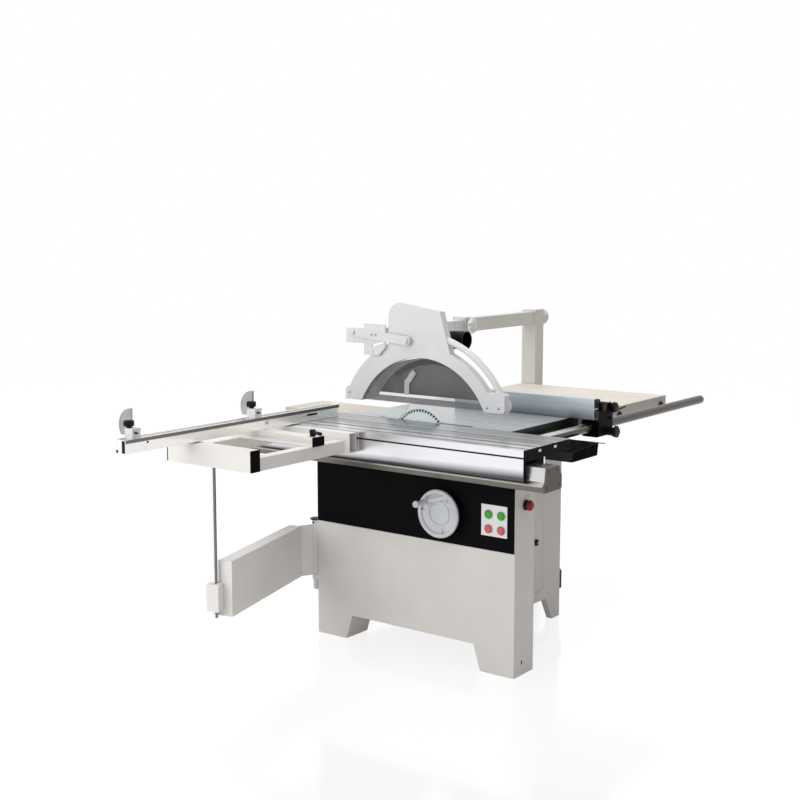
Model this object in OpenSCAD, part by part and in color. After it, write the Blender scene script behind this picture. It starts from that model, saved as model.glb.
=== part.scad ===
// Sliding table saw: a sheet metal cabinet with a cast table, a sliding carriage that carries a
// crosscut frame and fence, a swinging support arm, a rip fence on a round bar, an overhead
// guard on a column, and a saw unit that rises on guide columns.
// Lengths are in millimetres. The working datum is the floor under the right front corner of the
// front frame: X runs along the slide to the operator's end, Y to the rear and Z up.
// The part's own origin is the middle of its base.

/* [Cabinet] */
// Height of the table tops above the floor
table_h = 850; // [835:5:865]
// Width of the front frame, along the slide
cabinet_w = 914; // [900:2:930]
// Depth of the front frame
frame_d = 132; // [124:1:140]
// Thickness of the sheet metal
sheet = 3; // [2:0.5:4]
// Gap under the cabinet, between its feet
floor_gap = 97; // [85:1:110]
// Width of a front foot at the floor
foot_w = 143; // [125:1:160]
// Growth of a foot's width from the floor up to the cabinet
foot_flare = 31; // [20:1:40]
// Height of the control panel's lower edge
panel_z = 457; // [445:1:470]
// Depth of the rear body
body_d = 637; // [620:1:655]
// Distance of the rear body's right end from the frame's right end
body_inset = 255; // [245:1:265]
// Width of a rear foot at the floor
rear_foot_w = 60; // [50:1:75]

/* [Access door] */
// Width of the access door in the right end of the body
door_w = 440; // [420:1:460]
// Height of the access door
door_h = 490; // [470:1:510]
// Gap round the access door
door_gap = 1; // [0.5:0.1:2]

/* [Slide] */
// Length of the base rail with its end caps
rail_len = 1400; // [1360:5:1440]
// Height of the base rail
rail_h = 85; // [80:1:90]
// Reach of the base rail past the frame's right end
rail_reach = 160; // [140:1:180]
// Length of the slider with its end caps
slider_len = 1300; // [1260:5:1340]
// Reach of the slider past the frame's right end
slider_reach = 88; // [75:1:100]
// Reach of the slider in front of the frame
slider_front = 88; // [86:1:92]
// Width of the slider
slider_w = 316; // [310:1:318]
// Thickness of the slider's top
slider_t = 39; // [35:1:43]
// Diameter of the rollers between rail and slider
roller_d = 17.4; // [14:0.2:20]
// Thickness of the end caps on the rail and the slider
cap_t = 5; // [4:0.5:6]

/* [Crosscut frame] */
// Distance of the crosscut frame's left side from the slider's left end
xframe_offset = 142; // [130:1:155]
// Width of the crosscut frame along the slide
xframe_w = 405; // [390:1:420]
// Reach of the crosscut frame in front of the cabinet
xframe_reach = 640; // [620:1:660]
// Thickness of the crosscut frame's tubes
beam_t = 44; // [40:1:48]
// Height of the near tube
near_beam_h = 76; // [70:1:78]
// Height of the two side tubes
side_beam_h = 46; // [42:1:50]
// Depth of the tubes' underside below the table tops
beam_drop = 80; // [78:1:84]
// Distance of the crossbar's middle in front of the cabinet
crossbar_y = 286; // [270:1:300]
// Width of the crossbar
crossbar_w = 62; // [56:1:68]

/* [Crosscut fence] */
// Distance of the crosscut fence's face from the crosscut frame's left side
xfence_offset = 135; // [125:1:145]
// Reach of the crosscut fence in front of the cabinet
xfence_reach = 955; // [940:1:970]
// Reach of the crosscut fence's nose behind the frame's front
xfence_nose = 196; // [185:1:198]
// Thickness of the crosscut fence
xfence_t = 50; // [46:1:54]
// Height of the crosscut fence
xfence_h = 48; // [44:1:52]
// Distance of the outer flip stop in front of the cabinet
stop_a_y = 900; // [890:1:905]
// Distance of the inner flip stop in front of the cabinet
stop_b_y = 305; // [295:1:320]

/* [Swing arm] */
// Angle of the swing arm from the square position
arm_angle = 16.1; // [12:0.1:20]
// Length of the swing arm from its hinge
arm_len = 629; // [615:1:632]
// Thickness of the swing arm
arm_t = 55; // [50:1:60]
// Height of the swing arm's box
arm_h = 202; // [195:1:208]
// Height of the swing arm's underside
arm_z = 230; // [222:1:236]
// Diameter of the support post
post_d = 17; // [15:0.5:19]

/* [Tables] */
// Width of the main and extension tables along the slide
table_w = 762; // [750:1:775]
// Distance of the tables' right ends from the frame's right end
table_inset = 168; // [160:1:176]
// Distance of the main table's rear edge in front of the body's rear
main_back = 26; // [20:1:32]
// Depth of the extension table
ext_d = 812; // [800:1:825]
// Height of the tables' edges
table_edge = 60; // [56:1:64]
// Length of the outfeed table
outfeed_len = 360; // [340:1:380]
// Depth of the outfeed table
outfeed_d = 244; // [230:1:260]

/* [Tool tray] */
// Length of the tool tray along the slide
tray_w = 221; // [215:1:226]
// Depth of the tool tray
tray_d = 200; // [190:1:210]
// Distance of the tray's near wall behind the front frame
tray_y = 328; // [315:1:340]
// Depth of the tray's floor below the table tops
tray_drop = 135; // [130:1:140]
// Height of the tray's near wall
tray_near_h = 35; // [32:1:38]
// Height of the tray's far wall
tray_far_h = 49; // [46:1:52]

/* [Rip fence] */
// Diameter of the fence bar
bar_d = 38; // [34:0.5:42]
// Depth of the bar's axis below the table tops
bar_drop = 39; // [36:0.5:42]
// Distance of the bar's axis from the tables' ends
bar_out = 63; // [60:1:68]
// Length of the fence bar
bar_len = 1545; // [1500:5:1580]
// Length of the rip fence
fence_len = 700; // [660:5:740]
// Height of the rip fence
fence_h = 84; // [78:1:90]
// Thickness of the rip fence
fence_t = 40; // [36:1:44]
// Distance of the rip fence's face in front of the main table's rear edge
fence_front = 72; // [60:1:90]

/* [Overhead guard] */
// Side of the square column
column_w = 75; // [70:1:80]
// Height of the column's top above the arm's middle
column_rise = 39; // [36:1:44]
// Side of the square arm
arm_tube = 60; // [56:1:64]
// Height of the arm's middle
arm_mid_z = 1171; // [1165:1:1174]
// Inner radius of the guard's arch
arch_r = 321; // [312:1:330]
// Width of the arch's left band
band_left = 79; // [72:1:86]
// Width of the arch's right band
band_right = 49; // [44:1:54]
// Depth of the guard's white casing
guard_d = 32; // [28:1:36]
// Depth of the clear hood
hood_d = 92; // [86:1:96]
// Wall of the clear hood
hood_wall = 3; // [2:0.5:4]

/* [Saw unit] */
// Diameter of the saw blade
blade_d = 250; // [240:1:254]
// Height of the blade's top above the table
blade_rise = 48; // [45:1:50]
// Number of teeth on the blade
blade_teeth = 60; // [48:4:96]
// Thickness of the blade
blade_t = 3; // [2.4:0.2:3.6]
// Diameter of the arbor
arbor_d = 30; // [25:1:32]
// Diameter of the scoring blade
scoring_d = 100; // [90:1:104]
// Diameter of the guide columns
guide_d = 28; // [24:1:32]
// Diameter of the main motor
motor_d = 160; // [150:1:170]
// Length of the main motor
motor_l = 240; // [230:1:250]

/* [Controls] */
// Diameter of the handwheel
wheel_d = 180; // [172:1:188]
// Diameter of a push button's bezel
bezel_d = 31; // [29:0.5:33]
// Distance between push buttons
button_pitch = 53; // [50:1:56]
// Diameter of the emergency stop's head
stop_head_d = 40; // [36:1:44]

/* [Fits] */
// Running clearance round pins, shafts and slides
clear = 0.3; // [0.2:0.05:0.4]

/* [Hidden] */
$fn = 48;

// Colours
light_grey = "#d9d6d3";
cream = "#ddd3c8";
black = "#26272a";
aluminium = "#c6c9cc";
steel = "#b4b8bc";
iron = "#8f959b";
white = "#e4e7eb";
green = "#3f9b22";
red = "#c9303a";
smoke = [0.25, 0.28, 0.3, 0.5];

// Heights of the slide
roller_gap = roller_d + 2 * clear;
frame_h = table_h - slider_t - roller_gap - rail_h;
rail_top = frame_h + rail_h;
slider_under = table_h - slider_t;
rail_lip = 30;
skirt_z = frame_h + rail_lip + 1.5;
skirt_t = 8;

// Plan places of the slide
rail_x0 = rail_reach - rail_len;
slider_x0 = slider_reach - slider_len;
slider_y0 = -slider_front;
slider_y1 = slider_y0 + slider_w;
rail_y0 = slider_y0 + 3;
rail_y1 = rail_y0 + 126;
t_slots = [slider_y0 + 98, slider_y0 + 203];
t_slot_mouth = 11;
t_slot_w = 20;

// Rear body and tables
body_y0 = frame_d;
body_y1 = frame_d + body_d;
body_x0 = -cabinet_w;
body_x1 = -body_inset;
body_top = table_h - table_edge;
table_x1 = -table_inset;
table_x0 = table_x1 - table_w;
main_y0 = slider_y1 + 4;
main_y1 = body_y1 - main_back;
ext_y0 = main_y1 + clear;
ext_y1 = ext_y0 + ext_d;
plate_t = 20;
plate_under = table_h - plate_t;
outfeed_x0 = table_x0 - outfeed_len;
outfeed_t = 25;

// Saw unit
blade_x = -594;
blade_y = main_y0 + 18;
blade_z = table_h + blade_rise - blade_d / 2;
scoring_x = -405;
scoring_z = table_h + 2 - scoring_d / 2;
carrier_y = blade_y + 50;
carrier_t = 16;
guide_pitch = 220;
guide_y = carrier_y + carrier_t / 2;
belt_y = carrier_y + 92;
belt_w = 20;
motor_z = blade_z - 273;
motor_plate_y = carrier_y + 124;
motor_plate_t = 12;
arbor_pulley_d = 72;
motor_pulley_d = 96;
belt_t = 6;
motor_shaft_d = 24;
score_shaft_d = 16;
knife_t = 2.4;
sill_z = 140;
sill_h = 20;

// Controls
wheel_x = -307;
wheel_z = 569;
wheel_shaft_d = 20;
wheel_stand = 32;
screw_d = 20;
screw_y = blade_y + 95;
gear_near = 20;
gear_far = 36;
panel_face = -sheet;
plate_face = panel_face - 4;
button_d = 26.4;
button_x = -80.5;
button_z = 563;
button_l = 22;
stop_y = 68;
stop_z = 624;
stop_stem_d = 16;

// Rip fence
bar_x = table_x1 + bar_out;
bar_z = table_h - bar_drop;
bar_y0 = main_y0 + 13;
bar_y1 = bar_y0 + bar_len;
fence_x1 = -20;
fence_y = main_y1 - fence_front;
fence_back = fence_y + fence_t;
table_clear = 0.5;

// Crosscut frame and fence
xframe_x0 = slider_x0 + xframe_offset;
xframe_x1 = xframe_x0 + xframe_w;
xframe_y0 = -xframe_reach;
beam_z = table_h - beam_drop;
beam_wall = 3;
inner_beam_gap = 6;
inner_beam_t = 42;
inner_y1 = slider_y0 - inner_beam_gap;
inner_y0 = inner_y1 - inner_beam_t;
crossbar_z = beam_z + side_beam_h;
crossbar_top = table_h + 0.2;
xfence_x1 = xframe_x0 + xfence_offset;
xfence_x0 = xfence_x1 - xfence_t;
xfence_z0 = crossbar_top + clear;
xfence_z1 = xfence_z0 + xfence_h;
xfence_pivot = [xfence_x1 - 20, -crossbar_y];
pivot_pin_d = 12;

// Swing arm
hinge = [-cabinet_w - 24, 20];
hinge_pin_d = 16;
knuckle_d = 34;
arm_side = 39.3;
arm_root = 59;
arm_wall = 3;
lug_t = 20;
post_u = arm_len + 20;
post_v = -arm_side - arm_t - 4;
inner_len = arm_len / 2;
inner_z0 = arm_z + 22;
inner_h = 100;

// Overhead guard
column_x1 = table_x0 - 4 + column_w;
column_y0 = ext_y1 + 4;
column_h = arm_mid_z + column_rise;
arm_x = column_x1 - 37;
arm_front = 1000;
ext_tube = 46;
guard_y0 = slider_y1 - 26;
guard_y1 = guard_y0 + guard_d;
arch_c = [-559, arm_mid_z - 388];
guard_foot_z = arch_c.y + 135;
guard_wall = 3;
link_t = 6;
link_y1 = guard_y0 - 12 - clear;
link_y0 = link_y1 - link_t;
bracket_t = 6;
link_pin_d = 12;
link_a = [arm_x + 16, arm_mid_z + 20];
link_b = arch_c + arch_r * [-0.18, 1.2];
hood_r = arch_r - clear - 0.2;
hood_y0 = guard_y0 + guard_wall + clear;
hood_y1 = hood_y0 + hood_d;
handle_d = 25;
handle_r = arch_r + 89;
handle_from = 27;
handle_to = 76;
guard_roller_d = 58;
guard_roller_pos = arch_c + [349, 157];

// Middle of the part's base, from the working datum
mid_x = (rail_reach + outfeed_x0) / 2;
mid_y = (bar_y1 - xfence_reach) / 2;

// Moves the working datum to the part's own origin
module datum() {
    translate([-mid_x, -mid_y, 0]) children();
}

// A block between two opposite corners
module block(lo, hi) {
    translate(lo) cube(hi - lo);
}

// Picks one value on an axis and another on the other two
function on_axis(axis, value, other) = [for (i = [0:2]) i == axis ? value : other];

// A rectangular tube, open at both ends of an axis
module box_tube(lo, hi, wall, axis) {
    difference() {
        block(lo, hi);
        block(lo + on_axis(axis, -1, wall), hi + on_axis(axis, 1, -wall));
    }
}

module rod_x(p, d, l) {
    translate(p) rotate([0, 90, 0]) cylinder(d = d, h = l);
}

module rod_y(p, d, l) {
    translate(p) rotate([-90, 0, 0]) cylinder(d = d, h = l);
}

module rod_z(p, d, l) {
    translate(p) cylinder(d = d, h = l);
}

// Carries an outline in Y and Z along X
module along_x(x0, x1) {
    translate([x0, 0, 0]) rotate([90, 0, 90]) linear_extrude(x1 - x0) children();
}

// Carries an outline in X and Z along Y
module along_y(y0, y1) {
    translate([0, y1, 0]) rotate([90, 0, 0]) linear_extrude(y1 - y0) children();
}

// Stands a turned shape on a point, with its axis towards the operator
module facing_front(p) {
    translate(p) rotate([90, 0, 0]) children();
}

// A flat bar with round ends between two points of a plane
module link_2d(a, b, w) {
    turn = atan2(b.y - a.y, b.x - a.x);
    steps = 16;
    polygon(concat(
        [for (i = [0:steps]) a + w / 2 * [cos(turn + 90 + i * 180 / steps), sin(turn + 90 + i * 180 / steps)]],
        [for (i = [0:steps]) b + w / 2 * [cos(turn - 90 + i * 180 / steps), sin(turn - 90 + i * 180 / steps)]]
    ));
}

// Inward copy of a convex outline that runs anticlockwise
function unit(v) = v / norm(v);
function edge_shift(a, b, w) = let (d = unit(b - a)) [-d.y, d.x] * w;
function line_meet(p, d, q, e) =
    p + d * (((q.x - p.x) * e.y - (q.y - p.y) * e.x) / (d.x * e.y - d.y * e.x));
function inset(pts, w) = let (n = len(pts)) [
    for (i = [0:n - 1])
        let (a = pts[(i + n - 1) % n], b = pts[i], c = pts[(i + 1) % n])
        line_meet(b + edge_shift(a, b, w), b - a, b + edge_shift(b, c, w), c - b)
];

// A toothed disc: each tooth has a steep face and a sloping back
module saw_disc_2d(d, teeth, depth) {
    step = 360 / teeth;
    polygon([
        for (i = [0:teeth - 1], k = [0, 1])
            let (r = d / 2 - k * depth, a = (i + k * 0.25) * step) r * [cos(a), sin(a)]
    ]);
}

// Front of the frame: a plate that stands on two flared feet
module frame_front_2d(w) {
    top = floor_gap + w;
    side = foot_w - w;
    difference() {
        translate([-cabinet_w + w, w]) square([cabinet_w - 2 * w, frame_h - 2 * w]);
        polygon([
            [-foot_w + w, -1], [-foot_w - foot_flare + w, top],
            [-cabinet_w + foot_w + foot_flare - w, top], [-cabinet_w + side, -1]
        ]);
    }
}

// Slot low in the frame's right end, for levelling bolts
leg_slot = [54, 47];
leg_slot_w = 8;

module cabinet_frame() {
    datum() color(light_grey) difference() {
        along_y(0, frame_d) frame_front_2d(0);
        along_y(sheet, frame_d + 1) frame_front_2d(sheet);
        rod_y([wheel_x, -1, wheel_z], wheel_shaft_d + 2 * clear, sheet + 2);
        for (x = [-0.5, 0.5], z = [-0.5, 0.5])
            rod_y([button_x + x * button_pitch, -1, button_z + z * button_pitch],
                button_d + 2 * clear, sheet + 2);
        rod_x([-sheet - 1, stop_y, stop_z], stop_stem_d + 2 * clear, sheet + 2);
        for (z = [-0.5, 0.5])
            rod_x([-sheet - 1, leg_slot.x, leg_slot.y + z * leg_slot_w], leg_slot_w, sheet + 2);
        block([-sheet - 1, leg_slot.x - leg_slot_w / 2, leg_slot.y - leg_slot_w / 2],
            [1, leg_slot.x + leg_slot_w / 2, leg_slot.y + leg_slot_w / 2]);
    }
}

module control_panel() {
    edge = 3;
    datum() color(black) difference() {
        block([-cabinet_w + edge, panel_face, panel_z], [-edge, 0, frame_h - edge]);
        rod_y([wheel_x, panel_face - 1, wheel_z], wheel_shaft_d + 2 * clear, sheet + 2);
        for (x = [-0.5, 0.5], z = [-0.5, 0.5])
            rod_y([button_x + x * button_pitch, panel_face - 1, button_z + z * button_pitch],
                button_d + 2 * clear, sheet + 2);
    }
}

// Side outline of the rear body, with its flared rear foot
module body_side_2d(w) {
    toe = body_y1 - rear_foot_w;
    heel = toe - 55;
    polygon([
        [body_y0, floor_gap + w], [heel + w, floor_gap + w], [toe + w, w], [body_y1 - w, w],
        [body_y1 - w, body_top], [body_y0, body_top]
    ]);
}

door_y0 = body_y0 + 58;
door_z0 = floor_gap + 43;

module cabinet_body() {
    foot = 25;
    datum() color(light_grey) difference() {
        along_x(body_x0, body_x1) body_side_2d(0);
        translate([0, -1, 0]) along_x(body_x0 + sheet, body_x1 - sheet) body_side_2d(sheet);
        block([body_x0 + sheet, body_y0 - 1, floor_gap + 10],
            [body_x1 - sheet, body_y1 - sheet, body_top + 1]);
        block([body_x0 + foot, body_y0, -1], [body_x1 - foot, body_y1 + 1, floor_gap]);
        block([body_x1 - sheet - 1, door_y0, door_z0], [body_x1 + 1, door_y0 + door_w, door_z0 + door_h]);
    }
}

// The door's hinge pins lie just outside the panel, at the door's front edge
door_pin = [body_x1 + 4, door_y0 + door_gap + 5];

module access_door() {
    barrel_d = 10;
    datum() color(light_grey) {
        block([body_x1 - sheet, door_y0 + door_gap, door_z0 + door_gap],
            [body_x1, door_y0 + door_w - door_gap, door_z0 + door_h - door_gap]);
        for (z = [0.15, 0.75])
            rod_z([door_pin.x, door_pin.y, door_z0 + z * door_h], barrel_d, 50);
    }
}

module door_knob() {
    knob_y = door_y0 + door_w - 79;
    knob_z = door_z0 + 215;
    profile = [[0, 0], [6, 0], [6, 8], [13, 11], [14, 17], [11, 22], [0, 23]];
    datum() color(black)
        translate([body_x1, knob_y, knob_z]) rotate([0, 90, 0]) rotate_extrude() polygon(profile);
}

module mains_inlet() {
    w = 90;
    h = 86;
    d = 30;
    z0 = floor_gap + 13;
    chamfer = 14;
    datum() color(black) difference() {
        along_x(body_x1 - w - 8, body_x1 - 8)
            polygon([[body_y1, z0], [body_y1 + d, z0], [body_y1 + d, z0 + h - chamfer],
                [body_y1 + d - chamfer, z0 + h], [body_y1, z0 + h]]);
        block([body_x1 - w + 12, body_y1 + d - 12, z0 + 22], [body_x1 - 28, body_y1 + d + 1, z0 + 50]);
    }
}

// Outline of the base rail: a wide foot, a lip in front and a narrower head that carries the rollers
module rail_2d() {
    foot_z = frame_h;
    polygon([
        [rail_y0 + 15, foot_z], [rail_y1 - 4, foot_z], [rail_y1, foot_z + 8],
        [rail_y1, foot_z + rail_h - 38], [rail_y1 - 16, rail_top - 6], [rail_y1 - 22, rail_top],
        [rail_y0 + 21, rail_top], [rail_y0 + 15, foot_z + rail_lip + 7],
        [rail_y0, foot_z + rail_lip - 8], [rail_y0 + 12, foot_z + 2]
    ]);
}

module base_rail() {
    web = 8;
    chamber_z0 = frame_h + 12;
    chamber_z1 = rail_top - 12;
    left = rail_y0 + 28;
    right = rail_y1 - 22;
    middle = (left + right) / 2;
    datum() color(aluminium) along_x(rail_x0 + cap_t, rail_reach - cap_t) difference() {
        rail_2d();
        translate([left, chamber_z0]) square([middle - web / 2 - left, chamber_z1 - chamber_z0]);
        translate([middle + web / 2, chamber_z0])
            square([right - middle - web / 2, chamber_z1 - chamber_z0]);
    }
}

module rail_end_caps() {
    datum() color("#5b5550") {
        along_x(rail_x0, rail_x0 + cap_t) rail_2d();
        along_x(rail_reach - cap_t, rail_reach) rail_2d();
    }
}

// Front skirt of the slider, rounded in at its lower edge
module skirt_2d() {
    polygon([
        [slider_y0 + skirt_t, slider_under + 1], [slider_y0, slider_under + 1], [slider_y0, skirt_z + 20],
        [slider_y0 + 1.2, skirt_z + 11], [slider_y0 + 3.6, skirt_z + 4], [slider_y0 + skirt_t - 1, skirt_z],
        [slider_y0 + skirt_t, skirt_z]
    ]);
}

// Outline of the slider: a hollow top with two T-slots, a front skirt and a rear guide wall
module slider_2d() {
    wall = 5;
    guide_y0 = rail_y1 + 7;
    chambers = [
        [slider_y0 + 10, t_slots[0] - 16], [t_slots[0] + 16, t_slots[1] - 16],
        [t_slots[1] + 16, slider_y1 - 10]
    ];
    difference() {
        union() {
            translate([slider_y0, slider_under]) square([slider_w, slider_t]);
            skirt_2d();
            translate([guide_y0, rail_top - 38]) square([skirt_t, slider_under - rail_top + 38]);
        }
        for (c = chambers)
            translate([c[0], slider_under + wall]) square([c[1] - c[0], slider_t - 2 * wall]);
        for (y = t_slots) {
            translate([y - t_slot_mouth / 2, table_h - 8]) square([t_slot_mouth, 9]);
            translate([y - t_slot_w / 2, table_h - 18]) square([t_slot_w, 10.5]);
        }
        translate([slider_y0 - 1, table_h - 30]) square([2.5, 4]);
    }
}

module slider() {
    datum() color(aluminium) along_x(slider_x0 + cap_t, slider_reach - cap_t) slider_2d();
}

module slider_cap_2d() {
    translate([slider_y0, slider_under]) square([slider_w, slider_t - 1]);
    skirt_2d();
}

// Black end caps of the slider and the crosscut tubes, and the clamps that hold the inner tube
module slider_fittings() {
    clamp_w = 40;
    clamp_z = table_h - 62;
    datum() color(black) {
        along_x(slider_x0, slider_x0 + cap_t) slider_cap_2d();
        along_x(slider_reach - cap_t, slider_reach) slider_cap_2d();
        block([xframe_x1, xframe_y0, beam_z],
            [xframe_x1 + cap_t, xframe_y0 + beam_t, beam_z + near_beam_h]);
        block([xframe_x0 - cap_t, xframe_y0, beam_z],
            [xframe_x0, xframe_y0 + beam_t, beam_z + near_beam_h]);
        block([xframe_x1, -crossbar_y - crossbar_w / 2, crossbar_z],
            [xframe_x1 + cap_t, -crossbar_y + crossbar_w / 2, crossbar_top]);
        for (x = [xframe_x0 + 60, xframe_x1 - 60 - clamp_w])
            block([x, inner_y1, clamp_z], [x + clamp_w, slider_y0, clamp_z + 45]);
    }
}

// Rollers in a flat cage, between the rail's head and the slider
module slider_rollers() {
    count = 8;
    span = 440;
    middle = -540;
    roller_l = 12;
    cage_z = rail_top + roller_gap / 2 - 1.5;
    rows = [rail_y0 + 38, rail_y1 - 48];
    pitch = span / (count - 1);
    pocket = 0.3;
    datum() color(steel) {
        difference() {
            block([middle - span / 2 - 14, rows[0] - 8, cage_z],
                [middle + span / 2 + 14, rows[1] + roller_l + 8, cage_z + 3]);
            for (y = rows, i = [0:count - 1])
                rod_y([middle - span / 2 + i * pitch, y - pocket, rail_top + roller_gap / 2],
                    roller_d + 2 * pocket, roller_l + 2 * pocket);
        }
        for (y = rows, i = [0:count - 1])
            rod_y([middle - span / 2 + i * pitch, y, rail_top + roller_gap / 2], roller_d, roller_l);
    }
}

module crosscut_beams() {
    side_y0 = xframe_y0 + beam_t;
    datum() color(white) {
        box_tube([xframe_x0, xframe_y0, beam_z],
            [xframe_x1, xframe_y0 + beam_t, beam_z + near_beam_h], beam_wall, 0);
        box_tube([xframe_x0, inner_y0, beam_z],
            [xframe_x1 + 25, inner_y1, beam_z + near_beam_h - 1], beam_wall, 0);
        for (x = [xframe_x0, xframe_x1 - beam_t])
            box_tube([x, side_y0, beam_z], [x + beam_t, inner_y0, beam_z + side_beam_h], beam_wall, 1);
    }
}

module crossbar() {
    y0 = -crossbar_y - crossbar_w / 2;
    h = crossbar_top - crossbar_z;
    groove = 10;
    datum() color(aluminium) difference() {
        along_x(xframe_x0, xframe_x1) difference() {
            translate([y0, crossbar_z]) square([crossbar_w, h]);
            for (side = [0, 1])
                translate([y0 + side * (crossbar_w - 6) - (1 - side), crossbar_z + h / 2 - groove / 2])
                    square([7, groove]);
            translate([y0 + 12, crossbar_z + 6]) square([crossbar_w / 2 - 22, h - 12]);
            translate([-crossbar_y + 10, crossbar_z + 6]) square([crossbar_w / 2 - 22, h - 12]);
        }
        rod_z([xfence_pivot.x, xfence_pivot.y, crossbar_z - 1], pivot_pin_d + 2 * clear, h + 2);
        rod_z([lever_pos.x, lever_pos.y, crossbar_z - 1], lever_stem_d + 2 * clear, h + 2);
    }
}

lever_pos = [xframe_x1 - 24, -crossbar_y];
lever_stem_d = 10;

module crossbar_lever() {
    hub_d = 22;
    hub_h = 24;
    reach = 58;
    z0 = crossbar_top + clear;
    datum() color(black) {
        rod_z([lever_pos.x, lever_pos.y, z0], hub_d, hub_h);
        rod_z([lever_pos.x, lever_pos.y, crossbar_z + 2], lever_stem_d, z0 - crossbar_z);
        translate([lever_pos.x, lever_pos.y, z0 + hub_h - 9]) rotate([0, 0, -20])
            rotate([0, 90, 0]) translate([0, 0, -16]) cylinder(d1 = 11, d2 = 14, h = reach + 16);
    }
}

// Section of the crosscut fence: a hollow bar with a wide groove along its top, for the stops
xfence_groove = 24;

module xfence_2d() {
    wall = 5;
    translate([xfence_x0, xfence_z0]) difference() {
        square([xfence_t, xfence_h]);
        translate([wall, wall]) square([xfence_t - 2 * wall, xfence_h / 2 - wall - 2]);
        translate([xfence_t / 2 - xfence_groove / 2, xfence_h - xfence_groove / 2])
            square([xfence_groove, xfence_groove]);
    }
}

module crosscut_fence() {
    nose_y = xfence_nose - xfence_t;
    end_t = 4;
    slot = [[-33, 27], [xfence_z0 + 22, xfence_z0 + 29]];
    hole = [-xfence_reach + 100, xfence_z0 + 30];
    datum() color(aluminium) {
        difference() {
            union() {
                along_y(-xfence_reach + end_t, nose_y) xfence_2d();
                intersection() {
                    translate([xfence_x0, nose_y, xfence_z0]) cylinder(r = xfence_t, h = xfence_h);
                    block([xfence_x0, nose_y, xfence_z0], [xfence_x1, xfence_nose, xfence_z1]);
                }
            }
            block([xfence_x1 - 4, slot[0][0], slot[1][0]], [xfence_x1 + 1, slot[0][1], slot[1][1]]);
            rod_x([xfence_x1 - 4, hole.x, hole.y], 8, 5);
        }
        block([xfence_x0, -xfence_reach, xfence_z0], [xfence_x1, -xfence_reach + end_t, xfence_z1]);
        rod_z([xfence_pivot.x, xfence_pivot.y, crossbar_z + 2], pivot_pin_d, xfence_z0 + 6 - crossbar_z);
    }
}

// Flip stop: a block that rides in the crosscut fence's groove, with a flap on a pin behind it
stop_pin_d = 8;
stop_h = 34;
stop_near = 20;
stop_far = 16;
flap_t = 10;
flap_r = 60;
stop_pin_x = xfence_x0 - 8;
stop_pin_z = xfence_z1 + 11;

module stop_block(y) {
    z0 = xfence_z1 + clear;
    lug_depth = 12;
    lug_h = 22;
    tongue = xfence_groove - 2;
    tongue_h = 8;
    head_d = 14;
    head_t = 3;
    far_y = -y + stop_far;
    middle = xfence_x0 + xfence_t / 2;
    block([xfence_x0 + 10, -y - stop_near, z0], [xfence_x1 - 2, far_y, z0 + stop_h]);
    block([middle - tongue / 2, -y - stop_near, xfence_z1 - tongue_h],
        [middle + tongue / 2, far_y, z0 + 1]);
    block([stop_pin_x - 10, far_y - lug_depth, z0], [xfence_x0 + 11, far_y, z0 + lug_h]);
    rod_y([stop_pin_x, far_y - 1, stop_pin_z], stop_pin_d, flap_t + 2 * clear + 2);
    rod_y([stop_pin_x, far_y + flap_t + 2 * clear, stop_pin_z], head_d, head_t);
}

// The flap is a half-moon plate that stands up from its pin, with its straight edge over the fence
module stop_flap(y) {
    y0 = -y + stop_far + clear;
    edge_x = stop_pin_x + 7;
    low = stop_pin_z - 8.5;
    difference() {
        along_y(y0, y0 + flap_t) intersection() {
            translate([edge_x, stop_pin_z + 24]) circle(r = flap_r);
            translate([edge_x - flap_r, low]) square([flap_r, 2 * flap_r]);
        }
        rod_y([stop_pin_x, y0 - 1, stop_pin_z], stop_pin_d + 2 * clear, flap_t + 2);
    }
}

module stop_block_a() {
    datum() color(white) stop_block(stop_a_y);
}

module stop_flap_a() {
    datum() color(iron) stop_flap(stop_a_y);
}

module stop_block_b() {
    datum() color(white) stop_block(stop_b_y);
}

module stop_flap_b() {
    datum() color(iron) stop_flap(stop_b_y);
}

// Places the arm's own frame: U out along the arm, V to its right, from the hinge's axis
module on_arm() {
    translate([hinge.x, hinge.y, 0]) rotate([0, 0, arm_angle - 90]) children();
}

// Hinge of the swing arm: a plate on the cabinet's left side, with a lug above the arm and one below
module support_hinge() {
    plate_t = 6;
    plate_x = -cabinet_w - plate_t;
    top = arm_z + arm_h;
    boss_h = 40;
    boss_d = 28;
    lugs = [arm_z - clear - lug_t, top + clear];
    datum() color(light_grey) {
        block([plate_x, 2, lugs[0]], [-cabinet_w, hinge.y + 44, lugs[1] + lug_t]);
        for (z = lugs) translate([0, 0, z]) linear_extrude(lug_t) {
            translate(hinge) circle(d = knuckle_d + 2);
            translate([hinge.x, hinge.y - knuckle_d / 2]) square([plate_x - hinge.x + 1, knuckle_d]);
        }
        rod_z([hinge.x, hinge.y, lugs[0] - boss_h], boss_d, boss_h);
        rod_z([hinge.x, hinge.y, lugs[0]], hinge_pin_d, lugs[1] - lugs[0] + 1);
    }
}

// Swing arm: a box tube with a closed root, joined to its knuckle by a slanting web
module swing_arm() {
    end_t = 5;
    datum() color(light_grey) on_arm() difference() {
        union() {
            box_tube([arm_root, -arm_side - arm_t, arm_z],
                [arm_len, -arm_side, arm_z + arm_h], arm_wall, 0);
            block([arm_root - end_t, -arm_side - arm_t, arm_z], [arm_root, -arm_side, arm_z + arm_h]);
            translate([0, 0, arm_z]) linear_extrude(arm_h)
                polygon([[0, -8], [arm_root, -arm_side - 22], [arm_root, -arm_side], [4, 10], [0, 10]]);
            rod_z([0, 0, arm_z], knuckle_d, arm_h);
        }
        rod_z([0, 0, arm_z - 1], hinge_pin_d + 2 * clear, arm_h + 2);
    }
}

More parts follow.
